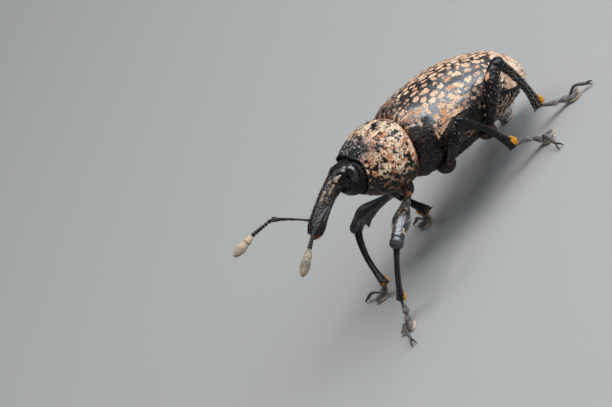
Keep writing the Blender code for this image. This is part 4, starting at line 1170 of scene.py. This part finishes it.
class Coat:
    """Flat scales and hairs of one piece, each on its own small patch of the map at its root's place."""

    lens = np.array([
        (0, 0, 0), (0.35, -0.5, 0), (0.8, -0.42, 0), (1, 0, 0), (0.8, 0.42, 0), (0.35, 0.5, 0),
        (0.5, 0, 0.16), (0.5, 0, -0.25),
    ])
    lens_map = np.stack([lens[:, 0] - 0.5, lens[:, 1]], -1)
    lens_faces = np.array(
        [(k, (k + 1) % 6, 6) for k in range(6)] + [((k + 1) % 6, k, 7) for k in range(6)]
    )
    spike_map = np.array([(-0.5, -0.5), (0, -0.5), (0.5, -0.5), (-0.5, 0.2), (0, 0.2), (0.5, 0.2), (0, 0.5)])
    spike_faces = np.array(
        [(k, (k + 1) % 3, 3 + (k + 1) % 3) for k in range(3)]
        + [(k, 3 + (k + 1) % 3, 3 + k) for k in range(3)]
        + [(3 + k, 3 + (k + 1) % 3, 6) for k in range(3)]
        + [(2, 1, 0)]
    )

    def __init__(self, skins, seed):
        lay_charts(skins)
        self.rng = np.random.default_rng(seed)
        self.parts = []
        self.count = 0

    def add(self, points, faces, place, local, colour):
        """Takes in many of one small form, with their corners on the map about their roots' places."""
        n, each = points.shape[:2]
        index = faces[None] + self.count + np.arange(n)[:, None, None] * each
        maps = (place[:, None] + PATCH * 0.5 * local[None])[:, faces]
        colour = np.repeat(colour, each, 0)
        self.parts.append((points.reshape(-1, 3), index.reshape(-1, 3), maps.reshape(-1, 3, 2), colour))
        self.count += n * each

    def turned(self, along, normal, spread):
        angle = self.rng.normal(0, spread, len(along))[:, None]
        return along * np.cos(angle) + np.cross(normal, along) * np.sin(angle)

    def colours(self, n, tones, under, own):
        """Tones drawn between two, with a share of the skin's own, or just the skin's own varied."""
        if tones is None:
            colour = under * self.rng.uniform(0.70, 1.45, (n, 1)) * (1 + 0.10 * self.rng.normal(size=(n, 3)))
            return np.clip(colour, 0.01, 0.92)
        low, high, bend = tones
        share = self.rng.random(n) ** bend
        return mix(low, high, share) * (1 + self.rng.uniform(-0.15, 0.15, n))[:, None] + own * under

    def scales(self, skin, where, n, length, width, tones, spread, own=0.0, columns=None):
        place, at, normal, along, under = spots(skin, n, self.rng, where, columns)
        colour = self.colours(n, tones, under, own)
        ahead = self.turned(along, normal, spread)
        across = np.cross(normal, ahead)
        size = (length * self.rng.uniform(0.75, 1.25, n))[:, None, None]
        wide = (width * self.rng.uniform(0.8, 1.2, n))[:, None, None]
        x, y, z = self.lens.T[:, None, :, None]
        points = at[:, None] + ahead[:, None] * (x - 0.35) * size + across[:, None] * y * wide
        points = points + normal[:, None] * ((z + 0.12) * wide + SCALE_RISE * x * size)
        self.add(points, self.lens_faces, place, self.lens_map, colour)

    def hairs(self, skin, where, n, length, radius, tones, rise, spread=0.3, own=0.0, columns=None):
        place, at, normal, along, under = spots(skin, n, self.rng, where, columns)
        colour = self.colours(n, tones, under, own)
        lie = self.turned(along, normal, spread)
        lift = (rise * self.rng.uniform(0.7, 1.3, n))[:, None]
        ahead = unit(lie * (1 - 0.4 * lift) + normal * lift)
        size = (length * self.rng.uniform(0.7, 1.25, n))[:, None]
        across = unit(np.cross(normal, ahead))
        over = np.cross(ahead, across)
        points = np.zeros((n, 7, 3))
        for k, angle in enumerate(turns(3)):
            ring = across * math.cos(angle) + over * math.sin(angle)
            points[:, k] = at - normal * 0.02 + ring * radius
            points[:, 3 + k] = at + ahead * size * 0.55 + normal * size * 0.06 + ring * radius * 0.75
        points[:, 6] = at + ahead * size - normal * size * 0.03
        self.add(points, self.spike_faces, place, self.spike_map, colour)

    def make(self, name, look):
        points, tris, maps, colour = (np.concatenate(x) for x in zip(*self.parts))
        points[:, 2] = np.maximum(points[:, 2], 0.004)
        empty = np.zeros((0, 4), int), np.zeros((0, 4, 2))
        made = new_object(name, points, *empty, tris, maps, colour, np.ones(len(points)), look)
        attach(made, "root")


# Of each coat: its scales' number, length, width, tones, spread and share of the skin's own colour, then its
# hairs' number, length, radius, tones and rise
ELYTRON_COAT = ((9000, 0.098, 0.050, None, 0.7), (900, 0.16, 0.010, (RUST, PALE_HAIR, 1), 0.45))
PROTHORAX_COAT = ((9500, 0.092, 0.046, None, 0.9), (700, 0.14, 0.009, (RUST, PALE_HAIR, 1), 0.4))
BODY_COAT = (
    (5200, 0.11, 0.055, (ORANGE_TAN * 0.45, PALE_TAN * 0.45, 1), 0.6, 0.60),
    (2000, 0.17, 0.008, (RUST * 0.6, PALE_HAIR, 1.6), 0.4),
)
HEAD_COAT = (
    (3000, 0.085, 0.042, (TAN * 0.16, CREAM * 0.16, 1.4), 0.6, 0.66),
    (500, 0.09, 0.007, (RUST, PALE_HAIR, 1), 0.4),
)


def dress_shell(name, seed, skin, looks, sizes, columns=None):
    """Scales in the skin's own colours where it is scaly, and short hairs between them."""
    coat = Coat([skin], seed)
    scaly = np.clip(skin.scaly, 0, 1)
    coat.scales(skin, scaly**2, *sizes[0], columns=columns)
    coat.hairs(skin, 1 - scaly, *sizes[1], columns=columns)
    coat.make(name, looks["scales"])


def dress_flecks(name, seed, skin, looks, sizes):
    """Scales on the skin's flecks, and short hairs all over it."""
    coat = Coat([skin], seed)
    coat.scales(skin, np.clip(skin.flecks, 0, 1), *sizes[0])
    coat.hairs(skin, None, *sizes[1])
    coat.make(name, looks["scales"])


def dress_club(side, scape, club, looks):
    coat = Coat([club, scape], 206 if side == "left" else 207)
    t = np.linspace(0, 1, club.points.shape[0])[:, None] + 0 * club.scaly
    tones = (CLUB_GREY * 0.3, CREAM * 0.3, 1.6)
    coat.hairs(club, 1 - 0.9 * around(0.325, t, 0.02), 3600, 0.085, 0.008, tones, 0.24, 0.25, 0.7)
    coat.hairs(scape, None, 130, 0.10, 0.006, (PALE_HAIR, CREAM, 1), 0.4)
    coat.make(f"club_hair_{side}", looks["scales"])


# Scales on each femur, scales on each pair's tibial ridges, and where the golden brush starts along the
# tibia. The far fore leg's femur has far fewer scales than the near one's: painted shade.
SPECKS = {
    "fore_left": 460, "fore_right": 80, "mid_left": 70, "mid_right": 70, "hind_left": 260, "hind_right": 260,
}
RIDGE_SCALES = {"fore": 240, "mid": 110, "hind": 620}
BRUSH_START = {"fore_left": 0.89, "fore_right": 0.84, "mid_right": 0.80}


def dress_leg(name, seed, coxa_skin, femur_skin, tibia_skin, joints, lobes, claw_joint, looks):
    coat = Coat([coxa_skin, femur_skin, tibia_skin, *joints, *lobes, claw_joint], seed)
    pair, side = name.split("_")
    share = np.linspace(0, 1.08, femur_skin.points.shape[0])[:, None] + 0 * femur_skin.scaly
    between_ends = ease(0.12, 0.2, share) * ease(0.95, 0.90, share)
    where = between_ends * (0.10 + np.clip(femur_skin.scaly, 0, 1))
    tones = (TAN, CREAM, 1) if pair == "fore" else (ORANGE_TAN * 0.7, PALE_TAN * 0.8, 1)
    coat.scales(femur_skin, where, SPECKS[name], 0.075, 0.038, tones, 0.5)
    coat.hairs(femur_skin, between_ends, 120, 0.08, 0.005, (RUST * 0.6, PALE_HAIR * 0.7, 1.6), 0.12)
    coat.hairs(coxa_skin, None, 60, 0.16, 0.008, (RUST, PALE_HAIR, 1), 0.4)

    # Rows of small scales on the tibia's ridges, the golden brush on its outer end and hairs round its tip
    t = np.linspace(0, 1, tibia_skin.points.shape[0])[:, None] + 0 * tibia_skin.scaly
    on_ridge = 0.35 + 0.65 * (0.5 + 0.5 * np.cos(8 * turns(tibia_skin.points.shape[1])))
    tone = 1.0 if pair == "hind" else 0.4
    where = ease(0.05, 0.15, t) * (0.4 + 0.6 * t)
    tones = (TAN * 0.6 * tone, CREAM * tone, 1.2)
    coat.scales(tibia_skin, where, RIDGE_SCALES[pair], 0.052, 0.026, tones, 0.4, columns=on_ridge)
    toward = -tibia_skin.inner
    if pair == "fore":
        toward = unit((0.25 if side == "left" else -0.25, 0.6, -0.6))
    outer = ease(0.40, 0.85, tibia_skin.normals() @ toward)
    start = BRUSH_START.get(name, 0.83)
    where = ease(start, start + 0.05, t) * ease(start + 0.12, start + 0.09, t) * outer
    length = 0.16 if name == "fore_left" else 0.22
    coat.hairs(tibia_skin, where, 170, length, 0.014, (GOLD * 0.8, GOLD * 1.15, 1), 0.75, 0.25)
    where = ease(0.96, 0.98, t) * ease(1.0, 0.99, t)
    coat.hairs(tibia_skin, where, 40, 0.16, 0.012, (RUST, GOLD, 1), 0.2, 0.2)

    # Feet
    for joint in joints:
        t = np.linspace(0, 1, joint.points.shape[0])[:, None] + 0 * joint.scaly
        coat.hairs(joint, 0.15 + ease(0.4, 0.9, t), 420, 0.13, 0.008, (MAUVE * 0.5, CREAM, 2.2), 0.35)
    for lobe in lobes:
        coat.hairs(lobe, lobe.low, 420, 0.12, 0.010, (GOLD, CREAM, 0.5), 0.4, 0.5)
        coat.hairs(lobe, 1 - lobe.low, 320, 0.12, 0.008, (MAUVE * 0.5, CREAM, 2.6), 0.3)
    coat.hairs(claw_joint, None, 120, 0.10, 0.006, (MAUVE * 0.5, PALE_HAIR, 1), 0.35)
    coat.make(f"leg_hair_{name}", looks["scales"])


# Looks


def new_look(name, gloss):
    """A material in the mesh's own colours."""
    look = bpy.data.materials.new(name)
    look.use_nodes = True
    nodes, links = look.node_tree.nodes, look.node_tree.links
    shader = nodes["Principled BSDF"]
    tint = nodes.new("ShaderNodeAttribute")
    tint.attribute_name = "tint"
    links.new(tint.outputs["Color"], shader.inputs["Base Color"])
    shader.inputs["Specular IOR Level"].default_value = gloss
    return look, nodes, links, shader


def relief(nodes, links, shader, grain, height, scale, strength, distance):
    """Fine relief from a texture that lies still on the object."""
    grain.inputs["Scale"].default_value = scale
    place = nodes.new("ShaderNodeTexCoord")
    bump = nodes.new("ShaderNodeBump")
    bump.inputs["Strength"].default_value = strength
    bump.inputs["Distance"].default_value = distance
    links.new(place.outputs["Object"], grain.inputs["Vector"])
    links.new(grain.outputs[height], bump.inputs["Height"])
    links.new(bump.outputs["Normal"], shader.inputs["Normal"])


def cuticle_look(name, gloss):
    """Glossy between the scales, dull where they lie."""
    look, nodes, links, shader = new_look(name, gloss)
    share = nodes.new("ShaderNodeAttribute")
    share.attribute_name = "scaly"
    dull = nodes.new("ShaderNodeMapRange")
    dull.inputs["To Min"].default_value = 0.28
    dull.inputs["To Max"].default_value = 0.80
    links.new(share.outputs["Fac"], dull.inputs["Value"])
    links.new(dull.outputs["Result"], shader.inputs["Roughness"])
    grain = nodes.new("ShaderNodeTexNoise")
    grain.inputs["Detail"].default_value = 4
    relief(nodes, links, shader, grain, "Fac", 16000.0, 0.55, 0.000012)
    shader.inputs["Specular Tint"].default_value = (0.86, 0.92, 1.0, 1.0)
    return look


def eye_look():
    """Smooth and black, with fine facets."""
    look, nodes, links, shader = new_look("eye", 0.75)
    shader.inputs["Roughness"].default_value = 0.17
    facets = nodes.new("ShaderNodeTexVoronoi")
    relief(nodes, links, shader, facets, "Distance", 22000.0, 0.25, 0.000008)
    return look


def scale_look():
    look, _, _, shader = new_look("scales_and_hair", 0.35)
    shader.inputs["Roughness"].default_value = 0.62
    return look


# Stage

# Middle, width, watts and colour of each lamp
LAMPS = {
    "key": ((0.12, 0.10, 0.31), 0.24, 1.20, (1.0, 1.0, 1.0)),
    "side": ((0.245, 0.228, 0.142), 0.38, 1.95, (0.88, 0.94, 1.0)),
    "back": ((-0.05, 0.30, 0.19), 0.20, 0.28, (0.92, 0.96, 1.0)),
    "top": ((-0.06, -0.03, 0.33), 0.16, 0.22, (0.95, 0.98, 1.0)),
    "fill": ((0.16, -0.26, 0.16), 0.30, 0.05, (0.93, 0.96, 1.0)),
}
LAMPS_AIM = Vector((0.0, 0.0, 0.004))
FLOOR_REACH = 3.0
CAMERA_AT = (166.972, -65.905, 77.603)
# The camera's right, up and back
CAMERA_AXES = ((0.4728, 0.5128, -0.7165), (0.0432, 0.7987, 0.6002), (0.8801, -0.3147, 0.3555))
CAMERA_LENS = 177.1


def stage():
    scene = bpy.context.scene
    mesh = bpy.data.meshes.new("floor")
    corners = [(x * FLOOR_REACH, y * FLOOR_REACH, 0) for x, y in ((-1, -1), (1, -1), (1, 1), (-1, 1))]
    mesh.from_pydata(corners, [], [(0, 1, 2, 3)])
    floor = bpy.data.objects.new("floor", mesh)
    scene.collection.objects.link(floor)
    plain = bpy.data.materials.new("pale_floor")
    plain.use_nodes = True
    shader = plain.node_tree.nodes["Principled BSDF"]
    shader.inputs["Base Color"].default_value = (0.27, 0.27, 0.267, 1.0)
    shader.inputs["Roughness"].default_value = 0.9
    mesh.materials.append(plain)

    for name, (middle, size, watts, colour) in LAMPS.items():
        light = bpy.data.lights.new(name, "AREA")
        light.shape = "DISK"
        light.size = size
        light.energy = watts
        light.color = colour
        lamp = bpy.data.objects.new(name, light)
        lamp.location = middle
        lamp.rotation_euler = (LAMPS_AIM - Vector(middle)).to_track_quat("-Z", "Y").to_euler()
        scene.collection.objects.link(lamp)
    world = bpy.data.worlds.new("studio")
    world.use_nodes = True
    background = world.node_tree.nodes["Background"]
    background.inputs["Color"].default_value = (0.86, 0.92, 1.0, 1.0)
    background.inputs["Strength"].default_value = 0.12
    scene.world = world
    scene.view_settings.view_transform = "Standard"

    camera = bpy.data.cameras.new("camera")
    camera.sensor_width = 36.0
    camera.lens = CAMERA_LENS
    camera.clip_start = 0.01
    camera.clip_end = 20.0
    eye = bpy.data.objects.new("camera", camera)
    turned = Matrix(CAMERA_AXES).transposed().to_4x4()
    eye.matrix_world = Matrix.Translation(Vector(CAMERA_AT) * MM) @ turned
    scene.collection.objects.link(eye)
    scene.camera = eye


def build():
    looks = {"cuticle": cuticle_look("cuticle", 0.28), "shell": cuticle_look("shell_plates", 0.95)}
    looks.update(eye=eye_look(), scales=scale_look())
    for side, seed in (("left", 201), ("right", 202)):
        skin = elytron(side, looks)
        outside = (np.arange(skin.points.shape[1]) < skin.outer - 1).astype(float)
        dress_shell(f"elytron_scales_{side}", seed, skin, looks, ELYTRON_COAT, outside)
    dress_flecks("body_scales", 204, hindbody(looks), looks, BODY_COAT)
    scutellum(looks)
    dress_shell("prothorax_scales", 203, prothorax(looks), looks, PROTHORAX_COAT)
    dress_flecks("head_scales", 205, head(looks), looks, HEAD_COAT)
    eyes(looks)
    for side in ("left", "right"):
        dress_club(side, *antenna(side, looks), looks)
    for number, leg in enumerate(STANCE):
        skins = coxa(leg, looks), femur(leg, looks), tibia(leg, looks)
        dress_leg(leg, 210 + number, *skins, *tarsus(leg, looks), looks)
    stage()


build()
